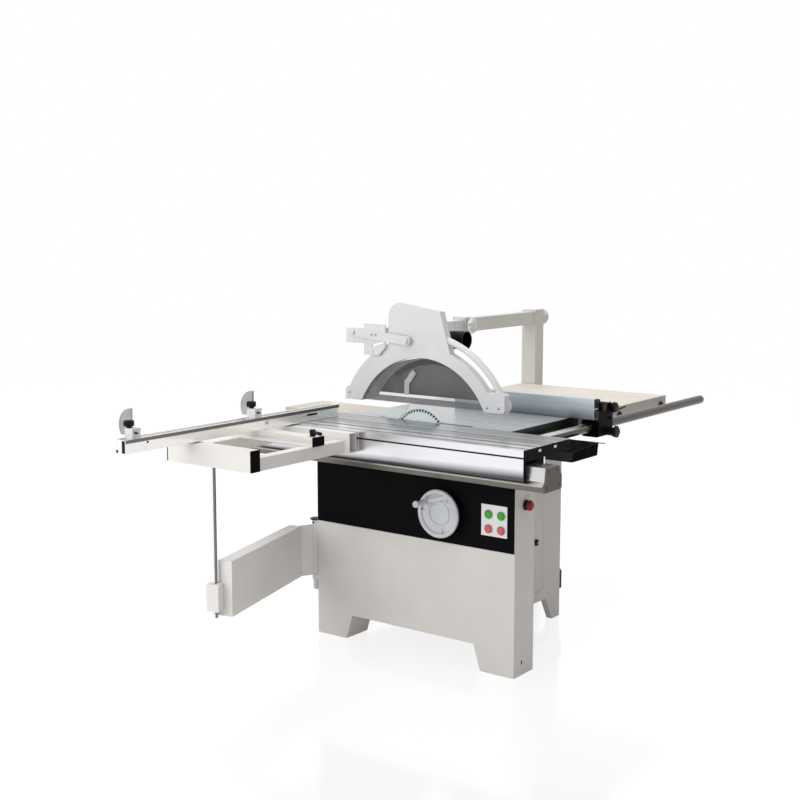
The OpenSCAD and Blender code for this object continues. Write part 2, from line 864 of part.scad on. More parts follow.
// Sliding inner arm: a box inside the swing arm, an end plate and a sleeve for the post
module inner_arm() {
    v0 = -arm_side - arm_t + arm_wall + clear;
    v1 = -arm_side - arm_wall - clear;
    z0 = arm_z + arm_wall + clear;
    z1 = arm_z + arm_h - arm_wall - clear;
    wall = 4;
    end_u = arm_len + clear;
    end_t = 5;
    sleeve_half = 24;
    datum() color(light_grey) on_arm() difference() {
        union() {
            block([arm_len - inner_len, v0, z0], [end_u, v1, z1]);
            block([end_u, -arm_side - arm_t, arm_z], [end_u + end_t, -arm_side, arm_z + arm_h]);
            block([end_u, post_v - sleeve_half, inner_z0],
                [post_u + sleeve_half, post_v + sleeve_half, inner_z0 + inner_h]);
        }
        block([arm_len - inner_len - 1, v0 + wall, z0 + wall], [end_u - wall, v1 - wall, z1 - wall]);
        rod_z([post_u, post_v, inner_z0 - 1], post_d + 2 * clear, inner_h + 2);
    }
}

module support_post() {
    top = beam_z - clear;
    foot = inner_z0 - 26;
    collar_h = 12;
    datum() color(steel) on_arm() translate([post_u, post_v, 0]) {
        rod_z([0, 0, foot], post_d, top - foot);
        rod_z([0, 0, inner_z0 - clear - collar_h], post_d + 10, collar_h);
    }
}

// Cast table: a plate with an edge all round, ribs below and one slot for both blades
module main_table() {
    edge_t = 15;
    rib_t = 14;
    slot_x0 = blade_x - 195;
    slot_x1 = scoring_x + scoring_d / 2 + 5;
    slot_half = 7;
    nut_room = 44;
    datum() color(iron) difference() {
        block([table_x0, main_y0, body_top], [table_x1, main_y1, table_h]);
        difference() {
            block([table_x0 + edge_t, main_y0 + edge_t - 7, body_top - 1],
                [table_x1 - edge_t, main_y1 - edge_t, plate_under]);
            for (x = [body_x0, body_x1 - rib_t, (body_x0 + body_x1) / 2])
                block([x, main_y1 - 190, body_top - 2], [x + rib_t, main_y1, plate_under + 1]);
            for (x = [body_x0, body_x1 - rib_t])
                block([x, main_y0, body_top - 2], [x + rib_t, main_y1, plate_under + 1]);
        }
        block([slot_x0, blade_y - slot_half, plate_under - 1], [slot_x1, blade_y + slot_half, table_h + 1]);
        block([blade_x - nut_room, main_y0 + 2, body_top - 1], [blade_x + nut_room, blade_y, plate_under]);
    }
}

module extension_table() {
    wall = 2.5;
    rib_h = 40;
    ribs = 3;
    datum() color(cream) difference() {
        block([table_x0, ext_y0, body_top], [table_x1, ext_y1, table_h]);
        difference() {
            block([table_x0 + wall, ext_y0 + wall, body_top - 1],
                [table_x1 - wall, ext_y1 - wall, table_h - wall]);
            for (i = [1:ribs])
                block([table_x0, ext_y0 + i * ext_d / (ribs + 1), table_h - rib_h],
                    [table_x1, ext_y0 + i * ext_d / (ribs + 1) + 30, table_h]);
        }
        block([table_x1 - wall - 1, ext_y0 + 30, table_h - 34], [table_x1 + 1, ext_y0 + 90, table_h - 26]);
    }
}

module outfeed_table() {
    wall = 2.5;
    y0 = main_y0 + 4;
    datum() color(cream) {
        difference() {
            block([outfeed_x0, y0, table_h - outfeed_t], [table_x0, y0 + outfeed_d, table_h]);
            block([outfeed_x0 + wall, y0 + wall, table_h - outfeed_t - 1],
                [table_x0 - wall, y0 + outfeed_d - wall, table_h - wall]);
        }
        for (y = [y0 + 30, y0 + outfeed_d - 36]) along_y(y, y + 6)
            polygon([[table_x0, body_top], [table_x0, table_h - wall],
                [table_x0 - 200, table_h - wall], [table_x0 - 200, table_h - outfeed_t]]);
    }
}

// Round bar for the rip fence, on studs that hold it off the tables' right ends
module fence_bar() {
    stud_d = 14;
    flange_d = 34;
    flange_t = 6;
    places = [main_y0 + 68, ext_y0 + 356, ext_y1 - 56];
    datum() color(steel) {
        rod_y([bar_x, bar_y0, bar_z], bar_d, bar_len);
        for (y = places) {
            rod_x([table_x1, y, bar_z], flange_d, flange_t);
            rod_x([table_x1, y, bar_z], stud_d, bar_out);
        }
    }
}

// Folded tool tray on the cabinet's end: a low near wall and a higher far wall that leans back
module tool_tray() {
    y0 = body_y0 + tray_y;
    y1 = y0 + tray_d;
    z0 = table_h - tray_drop;
    near_z = z0 + tray_near_h;
    far_z = z0 + tray_far_h;
    lean = 9;
    x1 = body_x1 + tray_w;
    wall = 2;
    lip = 26;
    datum() color(black) {
        difference() {
            along_x(body_x1, x1) polygon([[y0, z0], [y1, z0], [y1 + lean, far_z],
                [y1 + lean - wall, far_z], [y0, near_z]]);
            along_x(body_x1 + wall, x1 - wall) polygon([[y0 + wall, z0 + wall], [y1 - wall, z0 + wall],
                [y1 + lean - wall, far_z + 1], [y0 + wall, far_z + 1]]);
            block([body_x1 + wall, y0 - 1, near_z], [x1 - wall, y1, far_z + 1]);
        }
        block([body_x1, y1 + lean - wall, far_z - wall], [x1 + lip, y1 + lean + 8, far_z]);
    }
}

module overhead_column() {
    x0 = column_x1 - column_w;
    y1 = column_y0 + column_w;
    foot = 52;
    wall = 4;
    spigot_d = 78;
    spigot_l = 45;
    datum() color(light_grey) difference() {
        union() {
            box_tube([x0, column_y0, 10], [column_x1, y1, column_h - wall], wall, 2);
            block([x0, column_y0, column_h - wall], [column_x1, y1, column_h]);
            block([x0 - foot, column_y0 - foot, 0], [column_x1 + foot, y1 + foot, 10]);
            block([x0, ext_y1, body_top], [column_x1, column_y0, table_h - 4]);
            rod_y([arm_x, y1, arm_mid_z], spigot_d, spigot_l);
        }
        rod_y([arm_x, y1 - wall - 1, arm_mid_z], spigot_d - 6, spigot_l + wall + 2);
    }
}

arm_half = arm_tube / 2;
ext_half = ext_tube / 2;

module overhead_arm() {
    wall = 4;
    collar_l = 40;
    collar = arm_tube + 10;
    bolt_d = 10;
    knob_d = 54;
    knob_l = 20;
    stem_l = 14;
    datum() color(light_grey) {
        box_tube([arm_x - arm_half, arm_front, arm_mid_z - arm_half],
            [arm_x + arm_half, column_y0, arm_mid_z + arm_half], wall, 1);
        difference() {
            block([arm_x - collar / 2, arm_front - collar_l, arm_mid_z - collar / 2],
                [arm_x + collar / 2, arm_front, arm_mid_z + collar / 2]);
            block([arm_x - ext_half, arm_front - collar_l - 1, arm_mid_z - ext_half],
                [arm_x + ext_half, arm_front + 1, arm_mid_z + ext_half]);
        }
        for (z = [-1, 1])
            rod_x([arm_x + collar / 2, arm_front - collar_l / 2, arm_mid_z + z * 22], bolt_d + 6, 6);
        hand_knob([arm_x + collar / 2 + stem_l, arm_front - collar_l / 2, arm_mid_z], stem_l, knob_d, knob_l);
    }
}

// Inner arm of the overhead guard, with the bracket plate that carries the link
module arm_extension() {
    wall = 3;
    front = link_y1 + clear + bracket_t;
    plate = [link_a.x + 52, link_a.x + 158, link_a.y - 88, link_a.y + 35];
    corner = 34;
    hole = [plate[0] + 49, plate[2] + 14];
    slot = [[plate[0] + 43, plate[2] + 37], [plate[1] - 14, plate[2] + 52]];
    datum() color(light_grey) {
        box_tube([arm_x - ext_half, front, arm_mid_z - ext_half],
            [arm_x + ext_half, arm_front + 40, arm_mid_z + ext_half], wall, 1);
        along_y(front - bracket_t, front) difference() {
            union() {
                translate([arm_x - ext_half, arm_mid_z - ext_half])
                    square([plate[0] + 1 - arm_x + ext_half, link_a.y + 16 - arm_mid_z + ext_half]);
                polygon([[plate[0], plate[2]], [plate[1] - corner, plate[2]], [plate[1], plate[2] + corner],
                    [plate[1], plate[3]], [plate[0], plate[3]]]);
            }
            translate(hole) circle(d = 10);
            link_2d(slot[0], slot[1], 8);
        }
        rod_y([link_a.x, link_y0 - 6, link_a.y], link_pin_d, front - link_y0 + 6);
        rod_y([link_a.x, link_y0 - 8, link_a.y], link_pin_d + 8, 8 - clear);
    }
}

module guard_link() {
    w = 36;
    datum() color(light_grey) difference() {
        along_y(link_y0, link_y1) link_2d(link_a, link_b, w);
        for (p = [link_a, link_b])
            rod_y([p.x, link_y0 - 1, p.y], link_pin_d + 2 * clear, link_t + 2);
    }
}

// Outline of the guard's upper casing, with one round corner, as shares of the arch's inner radius
casing_corner = arch_c + arch_r * [-0.308, 1.474];
casing_corner_r = arch_r * 0.181;
casing_pts = concat(
    [for (p = [[-0.489, 1.143], [0.433, 1.037], [0.277, 1.564]]) arch_c + arch_r * p],
    [for (i = [0:5]) casing_corner + casing_corner_r * [cos(77 + i * 20.6), sin(77 + i * 20.6)]]
);
foot_top_z = guard_foot_z + 73;
foot_x0 = arch_c.x + 301;
foot_x1 = arch_c.x + 382;
guard_foot = [
    [foot_x0, guard_foot_z], [foot_x1 - 13, guard_foot_z], [foot_x1 - 4, guard_foot_z + 4],
    [foot_x1, guard_foot_z + 13], [foot_x1, foot_top_z - 6], [foot_x1 - 6, foot_top_z], [foot_x0, foot_top_z]
];
guard_ear = arch_c + [-348, 164];
guard_ear_r = 27;

// Front outline of the guard: an arch with a wide and a narrow leg, an ear, a foot and the casing above
module guard_2d(w) {
    floor_z = guard_foot_z + w - arch_c.y;
    reach = 600;
    translate(arch_c) difference() {
        union() {
            intersection() {
                circle(r = arch_r + band_left - w);
                translate([-reach, floor_z]) square([reach, reach]);
            }
            intersection() {
                circle(r = arch_r + band_right - w);
                translate([0, floor_z]) square([reach, reach]);
            }
        }
        circle(r = arch_r + w);
    }
    translate(guard_ear) circle(r = guard_ear_r - w);
    polygon(inset(casing_pts, w));
    polygon(inset(guard_foot, w));
}

module guard_casing() {
    back_t = 3;
    datum() color(white) {
        difference() {
            along_y(guard_y0, guard_y1) guard_2d(0);
            along_y(guard_y0 + guard_wall, guard_y1 + 1) guard_2d(guard_wall);
        }
        along_y(guard_y1 - back_t, guard_y1) polygon(inset(casing_pts, 1));
        rod_y([link_b.x, link_y0 - 6, link_b.y], link_pin_d, guard_y0 - link_y0 + 7);
        rod_y([link_b.x, link_y0 - 8, link_b.y], link_pin_d + 8, 8 - clear);
        rod_y([link_b.x, link_y1 + clear, link_b.y], link_pin_d + 14, guard_y0 - link_y1 - clear);
        rod_y([guard_roller_pos.x, guard_y0 + 1, guard_roller_pos.y], 10, guard_d + 32);
    }
}

// Clear hood under the arch: a front and a rear pane joined by a curved rim, open below
module guard_hood() {
    floor_z = guard_foot_z + 4;
    datum() color(smoke) difference() {
        along_y(hood_y0, hood_y1) intersection() {
            translate(arch_c) circle(r = hood_r);
            translate([arch_c.x - hood_r, floor_z]) square([2 * hood_r, hood_r + arch_c.y - floor_z + 1]);
        }
        along_y(hood_y0 + hood_wall, hood_y1 - hood_wall) intersection() {
            translate(arch_c) circle(r = hood_r - hood_wall);
            translate([arch_c.x - hood_r, floor_z - 1])
                square([2 * hood_r, hood_r + arch_c.y - floor_z + 1]);
        }
    }
}

// Curved handle, cut flat where it stands on the foot and where it meets the casing
module guard_handle() {
    datum() color(white) difference() {
        translate([arch_c.x, (guard_y0 + guard_y1) / 2, arch_c.y])
            rotate([90, 0, 0]) rotate([0, 0, handle_from])
            rotate_extrude(angle = handle_to - handle_from) translate([handle_r, 0]) circle(d = handle_d);
        along_y(guard_y0, guard_y1) polygon(casing_pts);
        block([foot_x1 - 90, guard_y0, guard_foot_z], [foot_x1 + 20, guard_y1, foot_top_z]);
    }
}

module guard_roller() {
    bore = 10 + 2 * clear;
    y0 = guard_y1 + clear;
    r = guard_roller_d / 2;
    l = 28;
    profile = [[bore / 2, 0], [r - 4, 0], [r, 4], [r, l - 4], [r - 4, l], [bore / 2, l]];
    datum() color(white) translate([guard_roller_pos.x, y0, guard_roller_pos.y])
        rotate([-90, 0, 0]) rotate_extrude() polygon(profile);
}

// Moulded spout behind the casing: a short elbow that takes a dust hose
module dust_spout() {
    bend_r = 48;
    outer_d = 70;
    inner_d = 62;
    flange_d = 86;
    root_pos = arch_c + arch_r * [0.215, 1.212];
    root = [root_pos.x, guard_y1, root_pos.y];
    datum() color(black) translate(root) difference() {
        union() {
            rotate([-90, 0, 0]) cylinder(d = flange_d, h = 5);
            rotate([-90, 0, 0]) cylinder(d = outer_d, h = 24);
            translate([bend_r, 24, 0]) rotate([0, 0, 90]) rotate_extrude(angle = 90)
                translate([bend_r, 0]) circle(d = outer_d);
            translate([bend_r, 24 + bend_r, 0]) rotate([0, 90, 0]) cylinder(d = outer_d, h = 26);
        }
        translate([bend_r, 24, 0]) rotate([0, 0, 90]) rotate_extrude(angle = 90)
            translate([bend_r, 0]) circle(d = inner_d);
        translate([bend_r, 24 + bend_r, 0]) rotate([0, 90, 0]) cylinder(d = inner_d, h = 27);
        translate([0, -1, 0]) rotate([-90, 0, 0]) cylinder(d = inner_d, h = 25);
    }
}

// Casting that rides on the bar, open towards the studs, with an upright that holds the fence
carriage_y0 = fence_back + clear;
carriage_y1 = carriage_y0 + 125;
carriage_x1 = bar_x + 40;
lock_pos = [carriage_y0 + 95, bar_z - 21];
clamp_pos = [carriage_y0 + 24, table_h + 48];

module fence_carriage() {
    block_d = bar_d + 2 * clear;
    x0 = bar_x - 38;
    slot = 20;
    upright_t = 28;
    under = bar_z - bar_d / 2 - 19;
    datum() color(black) difference() {
        union() {
            along_y(carriage_y0 + 15, carriage_y1) polygon([
                [x0, under + 8], [x0 + 8, under], [carriage_x1 - 6, under], [carriage_x1, under + 6],
                [carriage_x1, bar_z + 22], [carriage_x1 - 14, bar_z + 34],
                [x0 + 12, bar_z + 34], [x0, bar_z + 22]
            ]);
            along_x(x0 + 8, carriage_x1 - 4) polygon([
                [carriage_y0, table_h + 2], [carriage_y0 + 15, bar_z + 20], [carriage_y1 - 20, bar_z + 20],
                [carriage_y0 + upright_t + 22, table_h + 30],
                [carriage_y0 + upright_t, table_h + fence_h - 8],
                [carriage_y0, table_h + fence_h - 8]
            ]);
        }
        rod_y([bar_x, carriage_y0, bar_z], block_d, 200);
        block([x0 - 1, carriage_y0, bar_z - slot / 2], [bar_x, carriage_y1 + 1, bar_z + slot / 2]);
        rod_x([carriage_x1 - 30, lock_pos.x, lock_pos.y], 10 + 2 * clear, 40);
        rod_x([x0, clamp_pos.x, clamp_pos.y], 10 + 2 * clear, 120);
    }
    datum() color(black) translate([bar_x + 20, carriage_y0 + 40, table_h + 26]) rotate([-78, 0, 0])
        cylinder(d = 8, h = 110);
}

// Section of the rip fence: a hollow bar with grooves in its face and back
module rip_fence() {
    wall = 4;
    z0 = table_h + table_clear;
    z1 = z0 + fence_h;
    datum() color(aluminium) along_x(fence_x1 - fence_len, fence_x1) difference() {
        translate([fence_y, z0]) square([fence_t, fence_h]);
        translate([fence_y + wall, z0 + wall]) square([fence_t - 2 * wall - 8, fence_h / 2 - 2 * wall]);
        translate([fence_y + wall, z0 + fence_h / 2 + wall])
            square([fence_t - 2 * wall - 8, fence_h / 2 - 2 * wall]);
        translate([fence_back - 6, z0 + fence_h / 2 - 5]) square([7, 10]);
        translate([fence_y + fence_t / 2 - 5, z1 - 3]) square([10, 4]);
    }
}

// A ribbed hand knob on a stem, along X
module hand_knob(p, stem_l, head_d, head_l) {
    grips = 6;
    translate(p) rotate([0, 90, 0]) {
        translate([0, 0, -stem_l]) cylinder(d = 10, h = stem_l + 1);
        difference() {
            cylinder(d = head_d, h = head_l);
            for (i = [0:grips - 1]) rotate([0, 0, i * 360 / grips])
                translate([head_d / 2 + 3, 0, -1]) cylinder(d = 11, h = head_l + 2);
        }
    }
}

module fence_lock_knob() {
    stem_l = 28;
    head_d = 34;
    head_l = 26;
    datum() color(black)
        hand_knob([carriage_x1 + clear, lock_pos.x, lock_pos.y], stem_l, head_d, head_l);
}

module fence_clamp_knob() {
    stem_l = 60;
    head_d = 36;
    head_l = 24;
    datum() color(black)
        hand_knob([carriage_x1 - 4 + clear, clamp_pos.x, clamp_pos.y], stem_l, head_d, head_l);
}

// Two guide columns that stand on a sill across the body, under the table
module guide_columns() {
    sill_y0 = guide_y - guide_d - 6;
    sill_y1 = screw_y + 30;
    datum() color(steel) {
        difference() {
            block([body_x0 + sheet, sill_y0, sill_z], [body_x1 - sheet, sill_y1, sill_z + sill_h]);
            block([body_x0, sill_y0 + 4, sill_z - 1], [body_x1, sill_y1 - 4, sill_z + sill_h - 4]);
        }
        for (s = [-0.5, 0.5])
            rod_z([blade_x + s * guide_pitch, guide_y, sill_z + sill_h], guide_d,
                plate_under - sill_z - sill_h);
    }
}

// Saw carrier: a plate with two guide bosses, the arbor housing, the motor plate and the nut arm
module saw_carrier() {
    half_w = 150;
    low = motor_z + 30;
    high = body_top + 10;
    boss_d = guide_d + 28;
    boss_z0 = motor_z + motor_d * 0.375;
    boss_l = 190;
    housing_d = 80;
    web_t = 12;
    nut_z = 665;
    nut_h = 28;
    knife_x = blade_x - 150;
    shaft_hole_d = 44;
    datum() color("#6d7378") difference() {
        union() {
            block([blade_x - half_w, carrier_y, low], [blade_x + half_w, carrier_y + carrier_t, high]);
            for (s = [-0.5, 0.5])
                rod_z([blade_x + s * guide_pitch, guide_y, boss_z0], boss_d, boss_l);
            rod_y([blade_x, carrier_y - 28, blade_z], housing_d, 104);
            for (x = [blade_x - 106, blade_x + 94])
                block([x, carrier_y, motor_z - 20],
                    [x + web_t, motor_plate_y + motor_plate_t, motor_z + 130]);
            block([blade_x - 106, motor_plate_y, motor_z - 80],
                [blade_x + 106, motor_plate_y + motor_plate_t, motor_z + 130]);
            block([blade_x + half_w - 40, carrier_y, nut_z], [wheel_x + 24, screw_y + 24, nut_z + nut_h]);
            block([knife_x - 18, blade_y + knife_t / 2, blade_z - 66],
                [knife_x + 18, carrier_y + 1, blade_z - 30]);
        }
        for (s = [-0.5, 0.5])
            rod_z([blade_x + s * guide_pitch, guide_y, low - 120], guide_d + 2 * clear, 600);
        rod_y([blade_x, carrier_y - 30, blade_z], arbor_d + 2 * clear, belt_y - carrier_y + 28);
        rod_y([blade_x, motor_plate_y - 1, motor_z], shaft_hole_d, motor_plate_t + 2);
        rod_z([wheel_x, screw_y, nut_z - 1], screw_d + 2 * clear, nut_h + 2);
    }
}

// Main motor with its cooling fins, bolted to the back of the carrier's motor plate
module main_motor() {
    fin_count = 9;
    fin_pitch = 22;
    fin_t = 4;
    fin_h = 8;
    y0 = motor_plate_y + motor_plate_t;
    datum() color("#4a5a66") difference() {
        union() {
            rod_y([blade_x, y0, motor_z], motor_d - 2 * fin_h, motor_l);
            for (i = [1:fin_count])
                rod_y([blade_x, y0 + i * fin_pitch, motor_z], motor_d, fin_t);
            rod_y([blade_x, y0, motor_z], motor_d, 12);
        }
        rod_y([blade_x, y0 - 1, motor_z], motor_shaft_d + 2 * clear, 60);
    }
}

// Scoring unit that hangs from the table: a bearing housing and its own small motor behind it
module scoring_unit() {
    house_d = 44;
    house_l = 70;
    y0 = blade_y + 12;
    motor_drop = 25;
    score_motor_d = 84;
    datum() color("#4a5a66") difference() {
        union() {
            rod_y([scoring_x, y0, scoring_z], house_d, house_l);
            block([scoring_x - house_d / 2, y0, scoring_z],
                [scoring_x + house_d / 2, y0 + house_l, plate_under]);
            rod_y([scoring_x, y0 + house_l - 10, scoring_z - motor_drop], score_motor_d, 130);
        }
        rod_y([scoring_x, y0 - 1, scoring_z], score_shaft_d + 2 * clear, 60);
    }
}

// A flanged belt pulley on a shaft along Y
module pulley(p, d, bore_from, shaft_d, shaft_l) {
    flange = 4;
    rod_y(p, d, belt_w + 2);
    rod_y(p - [0, flange, 0], d + 10, flange);
    rod_y(p + [0, belt_w + 2, 0], d + 10, flange);
    rod_y(bore_from, shaft_d, shaft_l);
}

module motor_pulley() {
    datum() color(steel)
        pulley([blade_x, belt_y - 1, motor_z], motor_pulley_d, [blade_x, belt_y - 12, motor_z], motor_shaft_d,
            motor_plate_y + motor_plate_t + 50 - belt_y + 12);
}

module belt_loop_2d(grow) {
    hull() {
        translate([blade_x, blade_z]) circle(d = arbor_pulley_d + 2 * grow);
        translate([blade_x, motor_z]) circle(d = motor_pulley_d + 2 * grow);
    }
}

module drive_belt() {
    gap = 0.6;
    datum() color(black) along_y(belt_y + gap, belt_y + belt_w - gap) difference() {
        belt_loop_2d(belt_t);
        belt_loop_2d(gap);
    }
}

// Arbor with its pulley and the two flanges that grip the blade
module saw_arbor() {
    flange_d = 80;
    flange_t = 8;
    nut_d = 46;
    face = blade_t / 2;
    datum() color(steel) difference() {
        union() {
            pulley([blade_x, belt_y - 1, blade_z], arbor_pulley_d, [blade_x, blade_y - 14, blade_z], arbor_d,
                belt_y + belt_w + 4 - blade_y + 14);
            rod_y([blade_x, blade_y + face, blade_z], flange_d, flange_t);
            rod_y([blade_x, blade_y - face - 3, blade_z], flange_d - 20, 3);
            rod_y([blade_x, blade_y - face - 12, blade_z], nut_d, 9);
        }
    }
}

module saw_blade() {
    slots = 4;
    tooth_h = 8;
    datum() color("#c9ccce") translate([blade_x, blade_y + blade_t / 2, blade_z]) rotate([90, 0, 0])
        linear_extrude(blade_t) difference() {
            saw_disc_2d(blade_d, blade_teeth, tooth_h);
            circle(d = arbor_d + 0.2);
            for (i = [0:slots - 1]) rotate(i * 360 / slots + 20) {
                translate([blade_d / 2 - 22, -1]) square([24, 2]);
                translate([blade_d / 2 - 22, 0]) circle(d = 6);
            }
        }
}

// Riving knife: its front edge follows the blade, and its tail is bolted to the carrier
module riving_knife() {
    gap = 5;
    tail_z = blade_z - 62;
    tip = [blade_x - 56, table_h + 60];
    datum() color(steel) along_y(blade_y - knife_t / 2, blade_y + knife_t / 2) difference() {
        polygon([
            tip, [blade_x - 139, table_h + 40], [blade_x - 179, table_h], [blade_x - 168, tail_z],
            [blade_x - 132, tail_z], [blade_x - 100, blade_z + 60]
        ]);
        translate([blade_x, blade_z]) circle(r = blade_d / 2 + gap);
    }
}

module scoring_blade() {
    t = 3.2;
    datum() color("#c9ccce") {
        translate([scoring_x, blade_y + t / 2, scoring_z]) rotate([90, 0, 0])
            linear_extrude(t) saw_disc_2d(scoring_d, 24, 5);
        rod_y([scoring_x, blade_y - 10, scoring_z], score_shaft_d, 64);
        rod_y([scoring_x, blade_y + t / 2, scoring_z], 40, 7);
        rod_y([scoring_x, blade_y - t / 2 - 7, scoring_z], 36, 7);
    }
}

// Lift screw, with the bevel gear that the handwheel's shaft turns
module lift_screw() {
    foot = sill_z + sill_h + clear;
    top = table_h - 70;
    trim = 1.5;
    datum() color(steel) translate([wheel_x, screw_y, 0]) {
        rod_z([0, 0, foot], screw_d, top - foot);
        translate([0, 0, wheel_z - gear_far])
            cylinder(r1 = gear_far - trim, r2 = gear_near - trim, h = gear_far - gear_near);
        rod_z([0, 0, wheel_z - gear_far - 10], 46, 10);
        rod_z([0, 0, foot], 40, 12);
    }
}

// Dished handwheel with a round rim, a raised ring and a ridge to the crank; its shaft ends in a bevel gear
crank_r = 65;
crank_turn = 142;
crank_pin_d = 10;

module handwheel() {
    rim_d = 18;
    hub_d = 52;
    stand = wheel_stand;
    rim_r = wheel_d / 2 - rim_d / 2;
    ring_r = wheel_d / 4;
    trim = 1.5;
    pockets = 3;
    ridge_d = 20;
    ridge_from = crank_r * [cos(crank_turn), sin(crank_turn)];
    ridge_to = [wheel_d / 4, wheel_d * 0.375];
    ridge = ridge_to - ridge_from;
    datum() {
        color(light_grey) facing_front([wheel_x, panel_face, wheel_z]) {
            difference() {
                rotate_extrude() {
                    translate([rim_r, stand]) circle(d = rim_d);
                    polygon([[0, 8], [hub_d / 2, 8], [hub_d / 2 + 4, 16], [rim_r - 4, stand - 8],
                        [rim_r - 4, stand],
                        [ring_r + 4, stand - 2], [ring_r + 2, stand + 1], [ring_r - 4, stand + 1],
                        [ring_r - 6, stand - 3], [0, stand - 3]]);
                }
                for (i = [0:pockets - 1]) rotate([0, 0, 50 + i * 360 / pockets])
                    translate([ring_r + 14, -6, stand - 4]) cube([16, 12, 10]);
            }
            translate([ridge_from.x, ridge_from.y, stand])
                rotate([0, 0, atan2(ridge.y, ridge.x)]) rotate([0, 90, 0])
                cylinder(d = ridge_d, h = norm(ridge));
            translate([ridge_from.x, ridge_from.y, stand - 4]) cylinder(d = 24, h = 10);
            translate([ridge_from.x, ridge_from.y, stand]) cylinder(d = crank_pin_d, h = 74);
        }
        color(steel) {
            rod_y([wheel_x, panel_face - 10, wheel_z], wheel_shaft_d, screw_y - gear_near - panel_face + 10);
            translate([wheel_x, screw_y - gear_far, wheel_z]) rotate([-90, 0, 0])
                cylinder(r1 = gear_far - trim, r2 = gear_near - trim, h = gear_far - gear_near);
        }
    }
}

module crank_handle() {
    bore = crank_pin_d + 2 * clear;
    profile = [[bore / 2, 0], [9, 0], [11, 12], [9, 34], [8.5, 46],
        [12, 52], [13, 58], [11, 64], [bore / 2, 66]];
    datum() color(light_grey) facing_front([wheel_x, panel_face, wheel_z])
        rotate([0, 0, crank_turn]) translate([crank_r, 0, wheel_stand + 10 + clear])
            rotate_extrude() polygon(profile);
}

// Plate with four bezels, behind which the push buttons slide
module button_plate() {
    w = 108;
    h = 114;
    bezel_l = 3;
    middle = [button_x - 4, button_z + 4.5];
    datum() color(white) difference() {
        union() {
            block([middle.x - w / 2, plate_face, middle.y - h / 2],
                [middle.x + w / 2, panel_face, middle.y + h / 2]);
            for (x = [-0.5, 0.5], z = [-0.5, 0.5])
                rod_y([button_x + x * button_pitch, plate_face - bezel_l, button_z + z * button_pitch],
                    bezel_d, bezel_l + 1);
        }
        for (x = [-0.5, 0.5], z = [-0.5, 0.5])
            rod_y([button_x + x * button_pitch, plate_face - bezel_l - 1, button_z + z * button_pitch],
                button_d + 2 * clear, 20);
    }
}

module push_button(x, z, proud) {
    l = button_l + proud;
    r = button_d / 2;
    facing_front([button_x + x * button_pitch, 12, button_z + z * button_pitch])
        rotate_extrude() polygon([[0, 0], [r, 0], [r, l - 2], [r - 2, l], [0, l]]);
}

module green_button_a() {
    datum() color(green) push_button(-0.5, 0.5, 1);
}

module green_button_b() {
    datum() color(green) push_button(0.5, 0.5, 1);
}

module red_button_a() {
    datum() color(red) push_button(-0.5, -0.5, 3);
}

module red_button_b() {
    datum() color(red) push_button(0.5, -0.5, 3);
}

// Mushroom head on the frame's right end; its stem slides in the sheet
module emergency_stop() {
    r = stop_head_d / 2;
    profile = [[0, -20], [stop_stem_d / 2, -20], [stop_stem_d / 2, 12], [r - 2, 14], [r, 18],
        [r - 3, 25], [r - 10, 29], [0, 30]];
    datum() color(red) translate([0, stop_y, stop_z]) rotate([0, 90, 0]) rotate_extrude() polygon(profile);
}

cabinet_frame();
control_panel();
cabinet_body();
access_door();
door_knob();
mains_inlet();
base_rail();
rail_end_caps();
main_table();
extension_table();
outfeed_table();
fence_bar();
tool_tray();
overhead_column();
overhead_arm();
arm_extension();
guard_link();
guard_casing();
guard_hood();
guard_handle();
guard_roller();
dust_spout();
slider();
slider_fittings();
slider_rollers();
crosscut_beams();
crossbar();
crossbar_lever();
crosscut_fence();
stop_block_a();
stop_flap_a();
stop_block_b();
stop_flap_b();
support_hinge();
swing_arm();
inner_arm();
support_post();
fence_carriage();
rip_fence();
fence_lock_knob();
fence_clamp_knob();
guide_columns();
saw_carrier();
main_motor();
scoring_unit();
motor_pulley();
drive_belt();
saw_arbor();
saw_blade();
riving_knife();
scoring_blade();
lift_screw();
handwheel();
crank_handle();
button_plate();
green_button_a();
green_button_b();
red_button_a();
red_button_b();
emergency_stop();
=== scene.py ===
"""Looks of a sliding table saw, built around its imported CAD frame.

Most CAD nodes keep their shapes and get procedural finishes; the saw blade and the rip fence are
replaced. Small fittings that the solids leave out, such as knobs, screws, caps and the sheets in the
hood, are surfaces worked out with numpy and ride on the same bodies. Lengths in the classes are
millimetres from the working datum: the floor under the right front corner of the cabinet's front
frame, X along the slide, Y to the rear, Z up.
"""

from __future__ import annotations

import logging
import math
from dataclasses import dataclass
from enum import Enum
from typing import Any, Sequence

import bpy
import numpy as np
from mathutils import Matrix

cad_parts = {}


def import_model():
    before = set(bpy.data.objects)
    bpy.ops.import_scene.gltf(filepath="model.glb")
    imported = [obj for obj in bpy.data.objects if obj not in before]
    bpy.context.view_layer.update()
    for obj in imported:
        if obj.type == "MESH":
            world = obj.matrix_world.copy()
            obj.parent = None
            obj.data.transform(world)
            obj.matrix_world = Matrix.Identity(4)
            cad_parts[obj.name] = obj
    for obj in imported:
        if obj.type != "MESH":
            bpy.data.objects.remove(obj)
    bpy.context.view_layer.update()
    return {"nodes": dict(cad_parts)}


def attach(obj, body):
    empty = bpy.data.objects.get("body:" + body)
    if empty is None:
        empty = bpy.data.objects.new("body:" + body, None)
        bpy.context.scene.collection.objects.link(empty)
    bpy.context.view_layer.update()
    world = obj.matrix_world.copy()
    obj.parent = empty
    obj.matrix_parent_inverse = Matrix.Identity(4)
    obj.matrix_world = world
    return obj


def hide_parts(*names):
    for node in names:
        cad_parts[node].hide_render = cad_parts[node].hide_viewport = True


LOG = logging.getLogger("table_saw")
